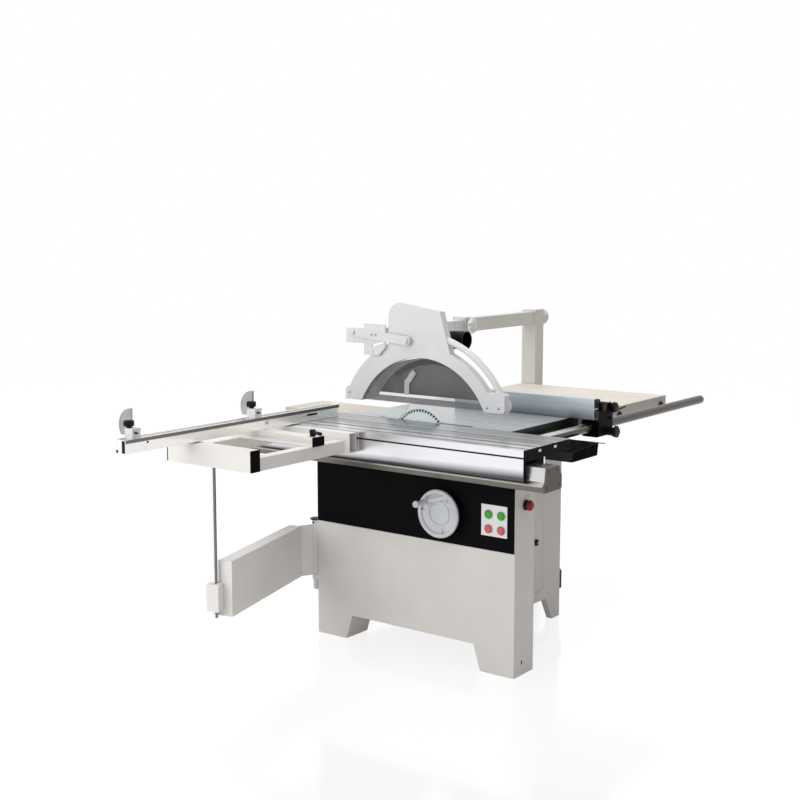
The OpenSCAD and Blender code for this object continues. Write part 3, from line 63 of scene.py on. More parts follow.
# Origin of the CAD frame, in millimetres from the working datum
DATUM = np.array([-565.0, 417.5, 0.0])
MM = 0.001

Point = tuple[float, float, float]
# Width, height and radius of the corners
Box = tuple[float, float, float]
Pair = tuple[float, float]
Profile = Sequence[Pair]
Colour = tuple[float, float, float, float]
Tree = bpy.types.NodeTree
Socket = bpy.types.NodeSocket
Piece = bpy.types.Object

# Turn between two faces above which their edge stays sharp
SMOOTH_ANGLE = math.radians(35.0)
# Noise values at which a finish has its shade and its colour
PATCH_STOPS = (0.36, 0.64)
# Share by which the fine lines vary the roughness, and the noise values over which they do
GLOSS_SPREAD = 0.15
GLOSS_SPAN = (0.25, 0.75)
BUMP_STRENGTH = 0.6
COAT_ROUGHNESS = 0.15
# How far the streaks darken the lanes
STREAK_SHARE = 0.45
# Slopes, as the normal's share of the top direction, between a side's coat and its neighbours
SIDE_SPAN = (0.45, 0.6)
UNDER_SPAN = (-0.5, -0.25)
# Share of the patches in the wear, and the span over which the wear ends
WEAR_NOISE = 0.2
WEAR_SPAN = (0.95, 1.04)


class Axis(Enum):
    """Direction that a fitting faces."""

    RIGHT = (1.0, 0.0, 0.0)
    LEFT = (-1.0, 0.0, 0.0)
    FRONT = (0.0, -1.0, 0.0)
    REAR = (0.0, 1.0, 0.0)
    UP = (0.0, 0.0, 1.0)


class Grain(Enum):
    """Direction of the drawn or ground lines on a metal, as a stretch along X, Y and Z."""

    NONE = (1.0, 1.0, 1.0)
    ALONG_X = (0.02, 1.0, 1.0)
    ALONG_Y = (1.0, 0.02, 1.0)
    ALONG_Z = (1.0, 1.0, 0.02)


class Slot(Enum):
    """Material slot of the record for a finish; no piece is given one here."""

    STEEL = "steel"
    ANODISED = "anodised"
    BLACK_PAINT = "black_paint"
    WHITE_PAINT = "white_paint"
    BLACK_PLASTIC = "black_plastic"
    GREEN_PLASTIC = "green_plastic"
    RED_PLASTIC = "red_plastic"
    CLEAR = "smoked_clear"


def srgb(code: str) -> Colour:
    """Turn an sRGB hex colour into linear values.

    Args:
        code: Colour such as "#D9D6D3".

    Returns:
        Linear red, green, blue and an alpha of 1.
    """
    part = np.array([int(code[i : i + 2], 16) for i in (1, 3, 5)]) / 255.0
    linear = np.where(part <= 0.04045, part / 12.92, ((part + 0.055) / 1.055) ** 2.4)
    return (float(linear[0]), float(linear[1]), float(linear[2]), 1.0)


def grey(value: float) -> Colour:
    """Linear grey of one value."""
    return (value, value, value, 1.0)


def per_mm(size: float) -> float:
    """Texture scale that gives a pattern of this size in millimetres on Object coordinates."""
    return 1000.0 / size


def add_node(
    tree: Tree, kind: str, links: dict[str | int, Any] | None = None, **settings: Any
) -> bpy.types.Node:
    """Add one shader node with its settings and links.

    Args:
        tree: Node tree of the material.
        kind: Blender's class name of the node, without its leading ShaderNode.
        links: Input name or number to the output socket that feeds it.
        settings: Node attributes, or input values with spaces written as underscores.

    Returns:
        The new node.
    """
    node = tree.nodes.new("ShaderNode" + kind)
    for key, value in settings.items():
        if hasattr(node, key):
            setattr(node, key, value)
        else:
            node.inputs[key.replace("_", " ")].default_value = value
    for key, socket in (links or {}).items():
        tree.links.new(socket, node.inputs[key])
    return node


def set_stops(node: bpy.types.Node, stops: Sequence[tuple[float, Colour]]) -> Socket:
    """Set the stops of a colour ramp.

    Args:
        node: Colour ramp node.
        stops: Place and colour of each stop, in order.

    Returns:
        The ramp's colour output.
    """
    elements = node.color_ramp.elements
    for place, _ in stops[2:]:
        elements.new(place)
    for element, (place, colour) in zip(elements, stops):
        element.position = place
        element.color = colour
    return node.outputs["Color"]


def new_tree(owner: bpy.types.Material | bpy.types.World) -> Tree:
    """Give a material or world an empty node tree.

    Args:
        owner: The material or world.

    Returns:
        Its node tree.
    """
    owner.use_nodes = True
    owner.node_tree.nodes.clear()
    return owner.node_tree


@dataclass(frozen=True)
class Finish:
    """One finish: a colour with fine variation, a gloss that varies, and a fine relief.

    Attributes:
        name: Name of the real material and how it was made.
        colour: sRGB hex of the clean surface.
        shade: sRGB hex of the slightly darker patches.
        roughness: Middle of the gloss variation.
        metallic: 1 for bare metal.
        patch: Size of the tonal patches in millimetres.
        relief: Size of the fine relief in millimetres.
        depth: Depth of the fine relief in millimetres.
        edge: Radius in millimetres to which sharp edges look broken.
        worn: sRGB hex of the edges where handling wears the surface, or "" for none.
        top: Direction that faces of the main colour look, where other faces have another coat.
        side: sRGB hex of faces square to that direction, or "" for one coat all round.
        under: sRGB hex of faces that look the other way.
        fade: sRGB hex of painted shade that the coat dims to from the second to the first height in fade_z,
            or "".
        fade_z: Those two heights in millimetres above the floor, at the middle of the part.
        fade_tilt: Rise of those heights for each unit along X.
        lanes: Places along Y in millimetres from the working datum, each with the sRGB hex of the main faces
            there as painted reflections, over which colour and shade are only streaks, or () for none.
        grain: Direction of drawn lines.
        specular: Specular level of the coat.
        coat: Weight of a clear coat.
        alpha: Share of the light that the sheet stops.
        slot: Slot of the record for new pieces with this finish; not used.
    """

    name: str
    colour: str
    shade: str
    roughness: float = 0.45
    metallic: float = 0.0
    patch: float = 220.0
    relief: float = 2.0
    depth: float = 0.05
    edge: float = 1.2
    worn: str = ""
    top: Axis = Axis.UP
    side: str = ""
    under: str = ""
    fade: str = ""
    fade_z: Pair = (0.0, 0.0)
    fade_tilt: float = 0.0
    lanes: tuple[tuple[float, str], ...] = ()
    grain: Grain = Grain.NONE
    specular: float = 0.5
    coat: float = 0.0
    alpha: float = 1.0
    slot: Slot = Slot.STEEL

    def build(self) -> bpy.types.Material:
        """Make the material from the finish.

        Returns:
            A material on Object coordinates.
        """
        material = bpy.data.materials.new(self.name)
        tree = new_tree(material)
        coords = add_node(tree, "TexCoord").outputs
        drawn = add_node(tree, "Mapping", {"Vector": coords["Object"]}, Scale=self.grain.value).outputs[0]
        patches, lines = (
            add_node(
                tree, "TexNoise", {"Vector": drawn}, Scale=per_mm(size), Detail=detail, Roughness=rough
            ).outputs["Fac"]
            for size, detail, rough in ((self.patch, 4.0, 0.6), (self.relief, 3.0, 0.55))
        )
        edge = add_node(tree, "Bevel", Radius=self.edge * MM, samples=4).outputs["Normal"]
        colour = set_stops(
            add_node(tree, "ValToRGB", {"Fac": patches}),
            [(PATCH_STOPS[0], srgb(self.shade)), (PATCH_STOPS[1], srgb(self.colour))],
        )
        if self.lanes:
            colour = self.draw_lanes(tree, colour, coords["Object"])
        if self.worn:
            colour = self.rub(tree, colour, edge, patches)
        if self.side:
            colour = self.paint_sides(tree, colour, coords["Normal"])
        if self.fade:
            colour = self.dim(tree, colour, coords["Object"])
        low, high = (self.roughness * (1.0 + spread) for spread in (-GLOSS_SPREAD, GLOSS_SPREAD))
        gloss = add_node(
            tree, "MapRange", {"Value": lines}, From_Min=GLOSS_SPAN[0], From_Max=GLOSS_SPAN[1],
            To_Min=low, To_Max=high,
        )
        bump = add_node(
            tree, "Bump", {"Height": lines, "Normal": edge}, Strength=BUMP_STRENGTH, Distance=self.depth * MM
        )
        shader = add_node(
            tree, "BsdfPrincipled",
            {"Base Color": colour, "Roughness": gloss.outputs["Result"], "Normal": bump.outputs["Normal"]},
            Metallic=self.metallic, Specular_IOR_Level=self.specular, Coat_Weight=self.coat,
            Coat_Roughness=COAT_ROUGHNESS, Alpha=self.alpha,
        )
        add_node(tree, "OutputMaterial", {"Surface": shader.outputs[0]})
        return material

    @staticmethod
    def blend(tree: Tree, value: Socket, span: Pair, low: str, high: Socket) -> Socket:
        """Mix from one colour to another as a value crosses a span.

        Args:
            tree: Node tree of the material.
            value: What decides the share.
            span: Values at which the mix starts and ends.
            low: sRGB hex at the start.
            high: Colour at the end.

        Returns:
            The mixed colour.
        """
        share = add_node(tree, "MapRange", {"Value": value}, From_Min=span[0], From_Max=span[1])
        mix = add_node(tree, "Mix", {0: share.outputs["Result"], 7: high}, data_type="RGBA")
        mix.inputs[6].default_value = srgb(low)
        return mix.outputs[2]

    def draw_lanes(self, tree: Tree, streaks: Socket, place: Socket) -> Socket:
        """Lay lanes of colour side by side along X, softly streaked, as painted reflections.

        Args:
            tree: Node tree of the material.
            streaks: Colour of the tonal streaks.
            place: Object coordinates.

        Returns:
            The lanes' colour, multiplied by a share of the streaks.
        """
        first, last = self.lanes[0][0], self.lanes[-1][0]
        across = add_node(tree, "SeparateXYZ", {"Vector": place}).outputs["Y"]
        low, high = ((y - DATUM[1]) * MM for y in (first, last))
        share = add_node(tree, "MapRange", {"Value": across}, From_Min=low, From_Max=high)
        stops = [((y - first) / (last - first), srgb(code)) for y, code in self.lanes]
        ramp = set_stops(add_node(tree, "ValToRGB", {"Fac": share.outputs["Result"]}), stops)
        mix = add_node(tree, "Mix", {6: ramp, 7: streaks}, data_type="RGBA", blend_type="MULTIPLY")
        mix.inputs["Factor"].default_value = STREAK_SHARE
        return mix.outputs[2]

    def rub(self, tree: Tree, colour: Socket, edge: Socket, patches: Socket) -> Socket:
        """Mix in the worn colour where the rounded normal leaves the face's own, broken by the patches.

        Args:
            tree: Node tree of the material.
            colour: Colour so far.
            edge: Normal with rounded edges.
            patches: Noise of the tonal patches.

        Returns:
            The new colour.
        """
        face = add_node(tree, "NewGeometry").outputs["Normal"]
        turn = add_node(tree, "VectorMath", {0: edge, 1: face}, operation="DOT_PRODUCT")
        level = turn.outputs["Value"]
        kept = add_node(tree, "Math", {0: patches, 2: level}, operation="MULTIPLY_ADD")
        kept.inputs[1].default_value = WEAR_NOISE
        return self.blend(tree, kept.outputs[0], WEAR_SPAN, self.worn, colour)

    def paint_sides(self, tree: Tree, colour: Socket, face: Socket) -> Socket:
        """Give faces that look away from the top direction their own colours: a second paint on some
        finishes, and painted light and shade on most.

        Args:
            tree: Node tree of the material.
            colour: Colour of the faces that look the top way.
            face: Normal of the face.

        Returns:
            The new colour.
        """
        towards = add_node(tree, "VectorMath", {0: face}, operation="DOT_PRODUCT")
        towards.inputs[1].default_value = self.top.value
        level = towards.outputs["Value"]
        sides = self.blend(tree, level, SIDE_SPAN, self.side, colour)
        return self.blend(tree, level, UNDER_SPAN, self.under or self.side, sides)

    def dim(self, tree: Tree, colour: Socket, place: Socket) -> Socket:
        """Dim the coat towards its lower edge as painted shade, where it faces what lies below it.

        Args:
            tree: Node tree of the material.
            colour: Colour so far.
            place: Object coordinates.

        Returns:
            The new colour.
        """
        height = add_node(tree, "VectorMath", {0: place}, operation="DOT_PRODUCT")
        height.inputs[1].default_value = (-self.fade_tilt, 0.0, 1.0)
        span = (self.fade_z[0] * MM, self.fade_z[1] * MM)
        return self.blend(tree, height.outputs["Value"], span, self.fade, colour)


# Places along Y and tones of the slider's top, from its skirt to the saw: its light and dark bands are
# painted reflections
SLIDER_LANES = (
    (-88.0, "#F4F4F6"), (-68.0, "#EEEEF0"), (-61.0, "#85878A"), (-50.0, "#85878A"), (-43.0, "#F0F1F3"),
    (-10.0, "#E6E8EA"), (-3.0, "#808285"), (8.0, "#808285"), (18.0, "#D6D8DA"), (36.0, "#CFD1D3"),
    (46.0, "#919497"), (106.0, "#8B8E91"), (114.0, "#D0D0D0"), (128.0, "#CBCBCB"), (138.0, "#8F9295"),
    (200.0, "#8A8D90"), (228.0, "#A6A9AC"),
)


class Paint:
    """The finishes of the saw, each made once.

    Numbers after the two colours are roughness, metallic, patch, relief, depth and edge, in that order.
    """

    # Satin powder coat on sheet steel: an even pale grey with a slight orange peel and soft folded edges
    LIGHT = Finish("light_grey_powder_coat", "#D8D4D0", "#D2CECA", 0.42, relief=1.6, edge=2.0)
    # The same coat in black: deep, low in sheen, with edges that rub to grey
    BLACK = Finish(
        "black_powder_coat", "#08080A", "#0B0B0D", 0.5, relief=1.6, worn="#2E2F32", edge=1.0, specular=0.04,
        slot=Slot.BLACK_PAINT
    )
    # Black coat of the folded tray: faces that look right are painted near black as painted shade, and its
    # other faces a lighter grey as painted light
    TRAY = Finish(
        "black_tray_coat", "#17171A", "#1D1D20", 0.5, patch=60.0, top=Axis.RIGHT, side="#424247", specular=0.0
    )
    # Cream powder coat of the extension table, with its folded sides painted a little greyer as painted shade
    CREAM = Finish("cream_powder_coat", "#E4DDD1", "#DDD6CA", 0.5, edge=1.5, side="#D8D1C6")
    # The same cream coat on the outfeed table, painted greyer all over as painted shade, with its sides
    # greyer still as painted shade
    OUTFEED = Finish("grey_cream_powder_coat", "#CEC7BC", "#C7C0B5", 0.5, edge=1.5, side="#C4BDB2")
    # White enamel of the guard and the stops' blocks: smooth, with a thin gloss
    WHITE = Finish(
        "white_enamel", "#E4E5E6", "#DCDDDF", 0.35, relief=2.4, edge=1.6, coat=0.15, slot=Slot.WHITE_PAINT
    )
    # The same enamel, warmer, on the welded crosscut tubes and the support arms, painted lighter as painted
    # light where they lie in shade
    TUBE = Finish("warm_white_enamel", "#ECE8E4", "#E5E1DD", 0.4, relief=2.4, edge=1.6)
    # Grey-white enamel of the column and arms
    COLUMN = Finish(
        "grey_white_enamel", "#D8D5D0", "#D1CEC9", 0.42, relief=1.8, edge=1.8, slot=Slot.WHITE_PAINT
    )
    # Silver enamel on the cast handwheel: cool, with a thin gloss
    WHEEL = Finish("silver_wheel_enamel", "#C6C8CC", "#BBBDC2", 0.32, 0.25, edge=1.6, coat=0.2)
    # Grey enamel on the saw unit's castings: a coarser skin over sand-cast iron
    CASTING = Finish("grey_casting_enamel", "#6A7076", "#5D6368", 0.5, relief=4.0, depth=0.3, edge=2.0)
    # Clear anodised slider: lanes between its slots over a clean bright skirt; lines coarser than real. The
    # lanes and the skirt's bright face are painted reflections of the room that the metal mirrors, and the
    # skirt's dim foot and the faces that look down are painted shade
    SLIDER = Finish(
        "anodised_slider", "#FFFFFF", "#B4B6B8", 0.24, 1.0, 14.0, 5.0, 0.002, 0.8, side="#F0F0F4",
        under="#4A4A4D", fade="#58595D", fade_z=(741.0, 772.0), fade_tilt=0.018, lanes=SLIDER_LANES,
        grain=Grain.ALONG_X
    )
    # The slide's base rail from the same works: its bevel that looks down is painted darker as painted shade
    RAIL = Finish(
        "anodised_base_rail", "#DAD7D0", "#CCC9C3", 0.3, 1.0, 16.0, 5.0, 0.01, 0.8, side="#DCDCDE",
        under="#74716C", grain=Grain.ALONG_X
    )
    # Matt anodised crossbar: the same metal after a glass bead blast, so it has no mirror
    CROSSBAR = Finish(
        "blasted_crossbar", "#F2EFEA", "#E6E3DE", 0.5, 0.4, 16.0, 5.0, 0.01, 0.8, grain=Grain.ALONG_X
    )
    # Crosscut fence: bright drawn aluminium with long die lines; its side faces are painted brighter than its
    # top as painted light, and faces that look down darker as painted shade
    FENCE = Finish(
        "anodised_crosscut_fence", "#EDEAE7", "#E2DFDC", 0.24, 1.0, 16.0, 5.0, 0.002, 0.8, side="#FFFDFA",
        under="#8E8B89", grain=Grain.ALONG_Y
    )
    # Dark strip along the top of the fence's face: the same metal, painted a dull dark grey as painted shade
    # in the fence's groove
    CHANNEL = Finish(
        "grey_fence_channel", "#7D7A79", "#6A6766", 0.4, 0.8, 16.0, 5.0, 0.002, 0.4, grain=Grain.ALONG_Y,
        slot=Slot.ANODISED
    )
    # Rip fence: satin blue-grey anodised bar, darker towards the table that it mirrors
    RIP = Finish(
        "satin_rip_fence", "#DAE6EC", "#CDD9E0", 0.5, 0.8, 16.0, 5.0, 0.002, 0.8, fade="#8A8F95",
        fade_z=(852.0, 915.0), grain=Grain.ALONG_X, slot=Slot.ANODISED
    )
    # Milled aluminium of the stops' flaps: duller, without lines
    MILLED = Finish("milled_aluminium", "#B9BBBD", "#A6A8AB", 0.38, 1.0, 30.0, 3.0, 0.02, 0.6)
    # Ground cast iron: blue-grey and half glossy, with fine grinding lines, and near black on its flanks
    IRON = Finish(
        "ground_cast_iron", "#BFC2C4", "#B2B5B8", 0.3, 0.45, 40.0, 4.0, 0.01, 1.0, side="#0D0D0F",
        grain=Grain.ALONG_X
    )
    # Ground steel bar and shafts: bright, with fine lines along the bar
    STEEL = Finish("ground_steel", "#BDBAB4", "#ADAAA4", 0.25, 1.0, 30.0, 3.0, 0.01, 0.6, grain=Grain.ALONG_Y)
    # Dark drawn steel of the fence's round bar: a bright line on top of its near half stands for a reflection
    BAR = Finish(
        "drawn_steel_bar", "#FFFFFF", "#E8E6E2", 0.28, 1.0, 30.0, 3.0, 0.002, 0.4, side="#4E4B47",
        under="#46433F", grain=Grain.ALONG_Y,
        lanes=((240.0, "#DEDBD3"), (760.0, "#D6D3CB"), (850.0, "#5C5955"), (1790.0, "#565350"))
    )
    # Hard chrome on the support post: a clean mirror, painted dull grey on the side that looks right and near
    # white elsewhere, as a painted reflection
    CHROME = Finish(
        "hard_chrome", "#77787A", "#6C6D6F", 0.1, 1.0, 60.0, 4.0, 0.0, 0.4, top=Axis.RIGHT, side="#EEEEF0",
        grain=Grain.ALONG_Z
    )
    # Blade steel: lapped, with a slight blue, painted a pale near white matt coat that stands for its bright
    # sheen as painted light, and with its edges in the gullets painted dark as painted shade
    BLADE = Finish(
        "lapped_blade_steel", "#F8FFFF", "#EEFCFF", 0.5, 0.0, 60.0, 2.0, 0.01, 0.3, top=Axis.FRONT,
        side="#26282A", under="#F8FFFF"
    )
    # Dark disc behind the teeth: near black and dull, painted shade that darkens the gullets so that the
    # teeth read from afar
    GULLET_SHADE = Finish("burnt_resin", "#3A3F42", "#303437", 0.7, patch=12.0, relief=1.0, edge=0.2, specular=0.2)
    # Moulded black nylon: dark and matt, with a fine spark texture
    NYLON = Finish(
        "moulded_black_nylon", "#0E0E10", "#131315", relief=0.8, worn="#2A2B2E", specular=0.15,
        slot=Slot.BLACK_PLASTIC
    )
    # Moulded grey-brown end caps: matt, with a fine spark texture
    CAP = Finish("moulded_grey_cap", "#6F6964", "#655F5A", 0.55, relief=0.9, edge=0.8, specular=0.3)
    # Green push buttons: glossy moulded ABS
    GREEN = Finish(
        "moulded_green_abs", "#3FA31F", "#37931A", 0.25, patch=20.0, relief=1.5, depth=0.01, edge=0.8,
        slot=Slot.GREEN_PLASTIC
    )
    # Red push buttons: the same ABS in a pale red
    RED = Finish(
        "moulded_red_abs", "#D2636C", "#C6565F", 0.25, patch=20.0, relief=1.5, depth=0.01, edge=0.8,
        slot=Slot.RED_PLASTIC
    )
    # Mushroom stop: the same ABS in a dark red with less sheen
    MUSHROOM = Finish(
        "moulded_dark_red_abs", "#961A26", "#84151F", 0.28, patch=20.0, relief=1.5, depth=0.01, edge=0.8,
        specular=0.25
    )
    # Rubber of the drive belt: dull and dark
    RUBBER = Finish("moulded_belt_rubber", "#1B1B1C", "#242425", 0.75, relief=1.5, depth=0.1, edge=0.8)
    # Zinc plated screws: pale and slightly yellow
    ZINC = Finish("zinc_plated_steel", "#C7C6C0", "#B5B4AD", 0.3, 1.0, 12.0, 1.0, 0.01, 0.4)
    # Clear acrylic of the hood: a faint grey haze over what is behind it
    ACRYLIC = Finish(
        "clear_acrylic_sheet", "#C4C6C7", "#B5B8B9", 0.06, patch=160.0, depth=0.0, edge=0.2, alpha=0.09
    )
    # Smoked acrylic of the hood's back: dark, with a dull reflection
    SMOKED = Finish(
        "smoked_acrylic_sheet", "#625C59", "#3E3A37", 0.3, patch=300.0, depth=0.0, edge=0.2, alpha=0.9,
        slot=Slot.CLEAR
    )
    # Thinner smoked sheet round the hood's inside and along its open foot
    HAZE = Finish(
        "thin_smoked_sheet", "#808082", "#747476", 0.35, patch=160.0, depth=0.0, edge=0.2, alpha=0.72,
        slot=Slot.CLEAR
    )

    def __init__(self) -> None:
        """Start with no material made."""
        self._made: dict[str, bpy.types.Material] = {}

    def get(self, finish: Finish) -> bpy.types.Material:
        """Give the material of a finish, and make it at its first use.

        Args:
            finish: One of the finishes above.

        Returns:
            The finish's material.
        """
        if finish.name not in self._made:
            self._made[finish.name] = finish.build()
        return self._made[finish.name]


class Shapes:
    """Surfaces from whole arrays, turned into mesh objects at the origin."""

    @staticmethod
    def frame_of(axis: Axis) -> np.ndarray:
        """Give two cross directions and the facing direction.

        Args:
            axis: Direction that the piece faces.

        Returns:
            A 3 by 3 array of rows: across, up and outwards.
        """
        out = np.array(axis.value)
        helper = np.array([0.0, 0.0, 1.0]) if abs(out[2]) < 0.5 else np.array([0.0, 1.0, 0.0])
        across = np.cross(helper, out)
        return np.stack([across, np.cross(out, across), out])

    @staticmethod
    def grid_faces(rows: int, cols: int, wrap: bool) -> np.ndarray:
        """Number the corners of a grid's quads.

        Args:
            rows: Points along the first parameter.
            cols: Points along the second parameter.
            wrap: Whether the second parameter closes on itself.

        Returns:
            An array of four indices for each quad.
        """
        i, j = np.meshgrid(np.arange(rows - 1), np.arange(cols if wrap else cols - 1), indexing="ij")
        k = (j + 1) % cols
        here, after = i * cols, (i + 1) * cols
        return np.stack([here + j, here + k, after + k, after + j], -1).reshape(-1, 4)

    @staticmethod
    def mesh(name: str, points: np.ndarray, faces: np.ndarray) -> Piece:
        """Put points and quads into a new object.

        Points at one place become one, quads that shrink to a triangle become one, and a closed shape
        whose volume, the sum of its corner triple products, is negative is turned outside out.

        Args:
            name: Name of the piece.
            points: Array of points in millimetres from the working datum.
            faces: Array of corner numbers, four for each face.

        Returns:
            The object, at the origin, shaded smooth up to 35 degrees.
        """
        _, first, back = np.unique(np.round(points, 4), axis=0, return_index=True, return_inverse=True)
        points = points[first]
        faces = back.reshape(-1)[faces]
        same = faces == np.roll(faces, -1, axis=1)
        quads = faces[same.sum(1) == 0]
        thin = same.sum(1) == 1
        tris = faces[thin][~same[thin]].reshape(-1, 3)
        fans = np.concatenate([quads[:, [0, 1, 2]], quads[:, [0, 2, 3]], tris])
        centred = points - points.mean(0)
        volume = np.einsum("ij,ij", centred[fans[:, 0]], np.cross(centred[fans[:, 1]], centred[fans[:, 2]]))
        step = -1 if volume < 0 else 1
        data = bpy.data.meshes.new(name)
        corners = quads[:, ::step].tolist() + tris[:, ::step].tolist()
        data.from_pydata(((points - DATUM) * MM).tolist(), [], corners)
        data.update()
        data.shade_smooth()
        data.set_sharp_from_angle(angle=SMOOTH_ANGLE)
        obj = bpy.data.objects.new(name, data)
        bpy.context.scene.collection.objects.link(obj)
        return obj

    @classmethod
    def turned(
        cls, name: str, profile: Profile, centres: Sequence[Point], axis: Axis, sides: int = 40,
        lobes: tuple[int, float] = (0, 0.0),
    ) -> Piece:
        """Turn a profile about an axis, once at each centre.

        A point is centre + r (1 + a cos(n t)) (across cos t + up sin t) + h outwards, where r and h run
        along the profile and t runs round it. With n and a of 0 it is round, and otherwise it has n lobes.

        Args:
            name: Name of the piece.
            profile: Radius and height of each point; both ends on the axis or closed on themselves.
            centres: Where each copy stands.
            axis: Direction of the height.
            sides: Points round the turn.
            lobes: Number of lobes and their share of the radius.

        Returns:
            One object with all the copies.
        """
        radius, height = np.array(profile, dtype=float).T
        t = np.linspace(0.0, 2 * math.pi, sides, endpoint=False)
        across, up, out = cls.frame_of(axis)
        swell = 1.0 + lobes[1] * np.cos(lobes[0] * t)
        ring = np.cos(t)[:, None] * across + np.sin(t)[:, None] * up
        one = (radius[:, None] * swell)[..., None] * ring + height[:, None, None] * out
        spots = np.array(centres, dtype=float)
        points = (spots[:, None, None, :] + one).reshape(-1, 3)
        faces = cls.grid_faces(len(profile), sides, True)
        step = len(profile) * sides
        return cls.mesh(name, points, (faces + step * np.arange(len(spots))[:, None, None]).reshape(-1, 4))

    @classmethod
    def swept(cls, name: str, outline: np.ndarray, path: np.ndarray, across: Axis) -> Piece:
        """Carry a closed outline along a path, with closed ends.

        A point is path(s) + u(q) side(s) + v(q) across, where u and v run along the outline and side is
        square to the path's direction and to across. Both ends close on the middle of their outline.

        Args:
            name: Name of the piece.
            outline: Array of u and v.
            path: Array of points in millimetres.
            across: Fixed direction of v.

        Returns:
            The swept object.
        """
        fixed = np.array(across.value)
        along = np.gradient(path, axis=0)
        along /= np.linalg.norm(along, axis=1, keepdims=True)
        side = np.cross(along, fixed)
        rings = path[:, None] + outline[None, :, 0, None] * side[:, None] + outline[None, :, 1, None] * fixed
        middle = np.broadcast_to(rings.mean(1, keepdims=True), rings.shape)
        rings = np.concatenate([middle[:1], rings, middle[-1:]])
        return cls.mesh(name, rings.reshape(-1, 3), cls.grid_faces(len(rings), len(outline), True))

    @classmethod
    def plate(
        cls, name: str, outline: np.ndarray, origin: Point, axis: Axis, thick: float, edge: float
    ) -> Piece:
        """Make a flat plate with broken edges from an outline.

        A point is origin + (1 - i(s)) p(q) + i(s) m + h(s) outwards, where p runs round the outline, m is
        its middle, i is the inset and h the height: both run from the seat's middle over the sides to the
        top's middle.

        Args:
            name: Name of the piece.
            outline: Array of across and up, seen from outside, star-shaped about its middle.
            origin: Where the outline's zero lies.
            axis: Direction of the thickness.
            thick: Thickness.
            edge: Width of the broken edge.

        Returns:
            The plate.
        """
        across, up, out = cls.frame_of(axis)
        middle = outline.mean(0)
        reach = np.linalg.norm(outline - middle, axis=1).max()
        inset = np.array([1.0, edge / reach, 0.0, 0.0, edge / reach, 1.0])
        height = np.array([0.0, 0.0, edge, thick - edge, thick, thick])
        flat = (1 - inset)[:, None, None] * outline + inset[:, None, None] * middle
        points = flat[..., :1] * across + flat[..., 1:] * up + height[:, None, None] * out + np.array(origin)
        return cls.mesh(name, points.reshape(-1, 3), cls.grid_faces(len(inset), len(outline), True))

    @staticmethod
    def round_box(width: float, height: float, radius: float, steps: int = 6) -> np.ndarray:
        """Outline of a rectangle with round corners about its middle.

        Args:
            width: Size across.
            height: Size up.
            radius: Radius of the corners.
            steps: Points on each corner.

        Returns:
            Array of across and up.
        """
        turn = np.linspace(0.0, 2 * math.pi, 4 * steps, endpoint=False) + math.pi / (4 * steps)
        corner = np.stack([np.cos(turn), np.sin(turn)], -1)
        return np.sign(corner) * np.array([width / 2 - radius, height / 2 - radius]) + radius * corner


@dataclass
class Assembly:
    """A group of pieces that share a paint box.

    Attributes:
        paint: The saw's finishes.
        nodes: The CAD nodes by name.
    """

    paint: Paint
    nodes: dict[str, Piece]

    def dress(self, finish: Finish, *names: str) -> None:
        """Give CAD nodes a finish.

        Args:
            finish: The finish.
            names: Names of the nodes.
        """
        for name in names:
            data = self.nodes[name].data
            data.materials.clear()
            data.materials.append(self.paint.get(finish))

    def add(self, piece: Piece, finish: Finish, body: str, slot: Slot | None = None) -> None:
        """Finish a new piece and let it ride on a body.

        Args:
            piece: The new object.
            finish: Its finish.
            body: Name of the CAD body.
            slot: Material slot of the record, where it isn't the finish's own; not used.
        """
        piece.data.materials.append(self.paint.get(finish))
        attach(piece, body)
        LOG.info("%s rides on %s", piece.name, body)

    def turn(self, finish: Finish, body: str, *shape: Any) -> None:
        """Add a turned piece: the finish, the body and then what Shapes.turned takes."""
        self.add(Shapes.turned(*shape), finish, body)

    def box(self, finish: Finish, body: str, name: str, size: Box, *rest: Any) -> None:
        """Add a plate with round corners: as for turn, with a size in place of Shapes.plate's outline."""
        self.add(Shapes.plate(name, Shapes.round_box(*size), *rest), finish, body)

    def sweep(self, finish: Finish, body: str, name: str, size: Box, steps: int, *rest: Any) -> None:
        """Add a swept bar: as for box, with the points on each corner after the size."""
        self.add(Shapes.swept(name, Shapes.round_box(*size, steps), *rest), finish, body)

    def build(self) -> None:
        """Dress the nodes and add the pieces."""
        raise NotImplementedError


def screw_head(d: float, h: float, socket: float = 0.5) -> Profile:
    """Profile of a socket head screw, from its seat up over a rounded rim and down into its socket.

    Args:
        d: Diameter of the head.
        h: Height of the head.
        socket: Share of the diameter that the socket takes.

    Returns:
        Radius and height of each point.
    """
    r, c, s = d / 2, h * 0.18, d / 2 * socket
    rim = [(0.0, 0.0), (r, 0.0), (r, h - c), (r - c * 0.3, h - c * 0.3), (r - c, h)]
    return rim + [(s, h), (s, h * 0.45), (0.0, h * 0.45)]


def dome_head(d: float, h: float) -> Profile:
    """Profile of a low domed head.

    Args:
        d: Diameter of the head.
        h: Height of the head.

    Returns:
        Radius and height of each point, on a quarter ellipse.
    """
    t = np.linspace(0.0, math.pi / 2, 7)
    arc = np.stack([d / 2 * np.cos(t), h * np.sin(t)], -1)
    return [(0.0, 0.0)] + [(float(r), float(z)) for r, z in arc]


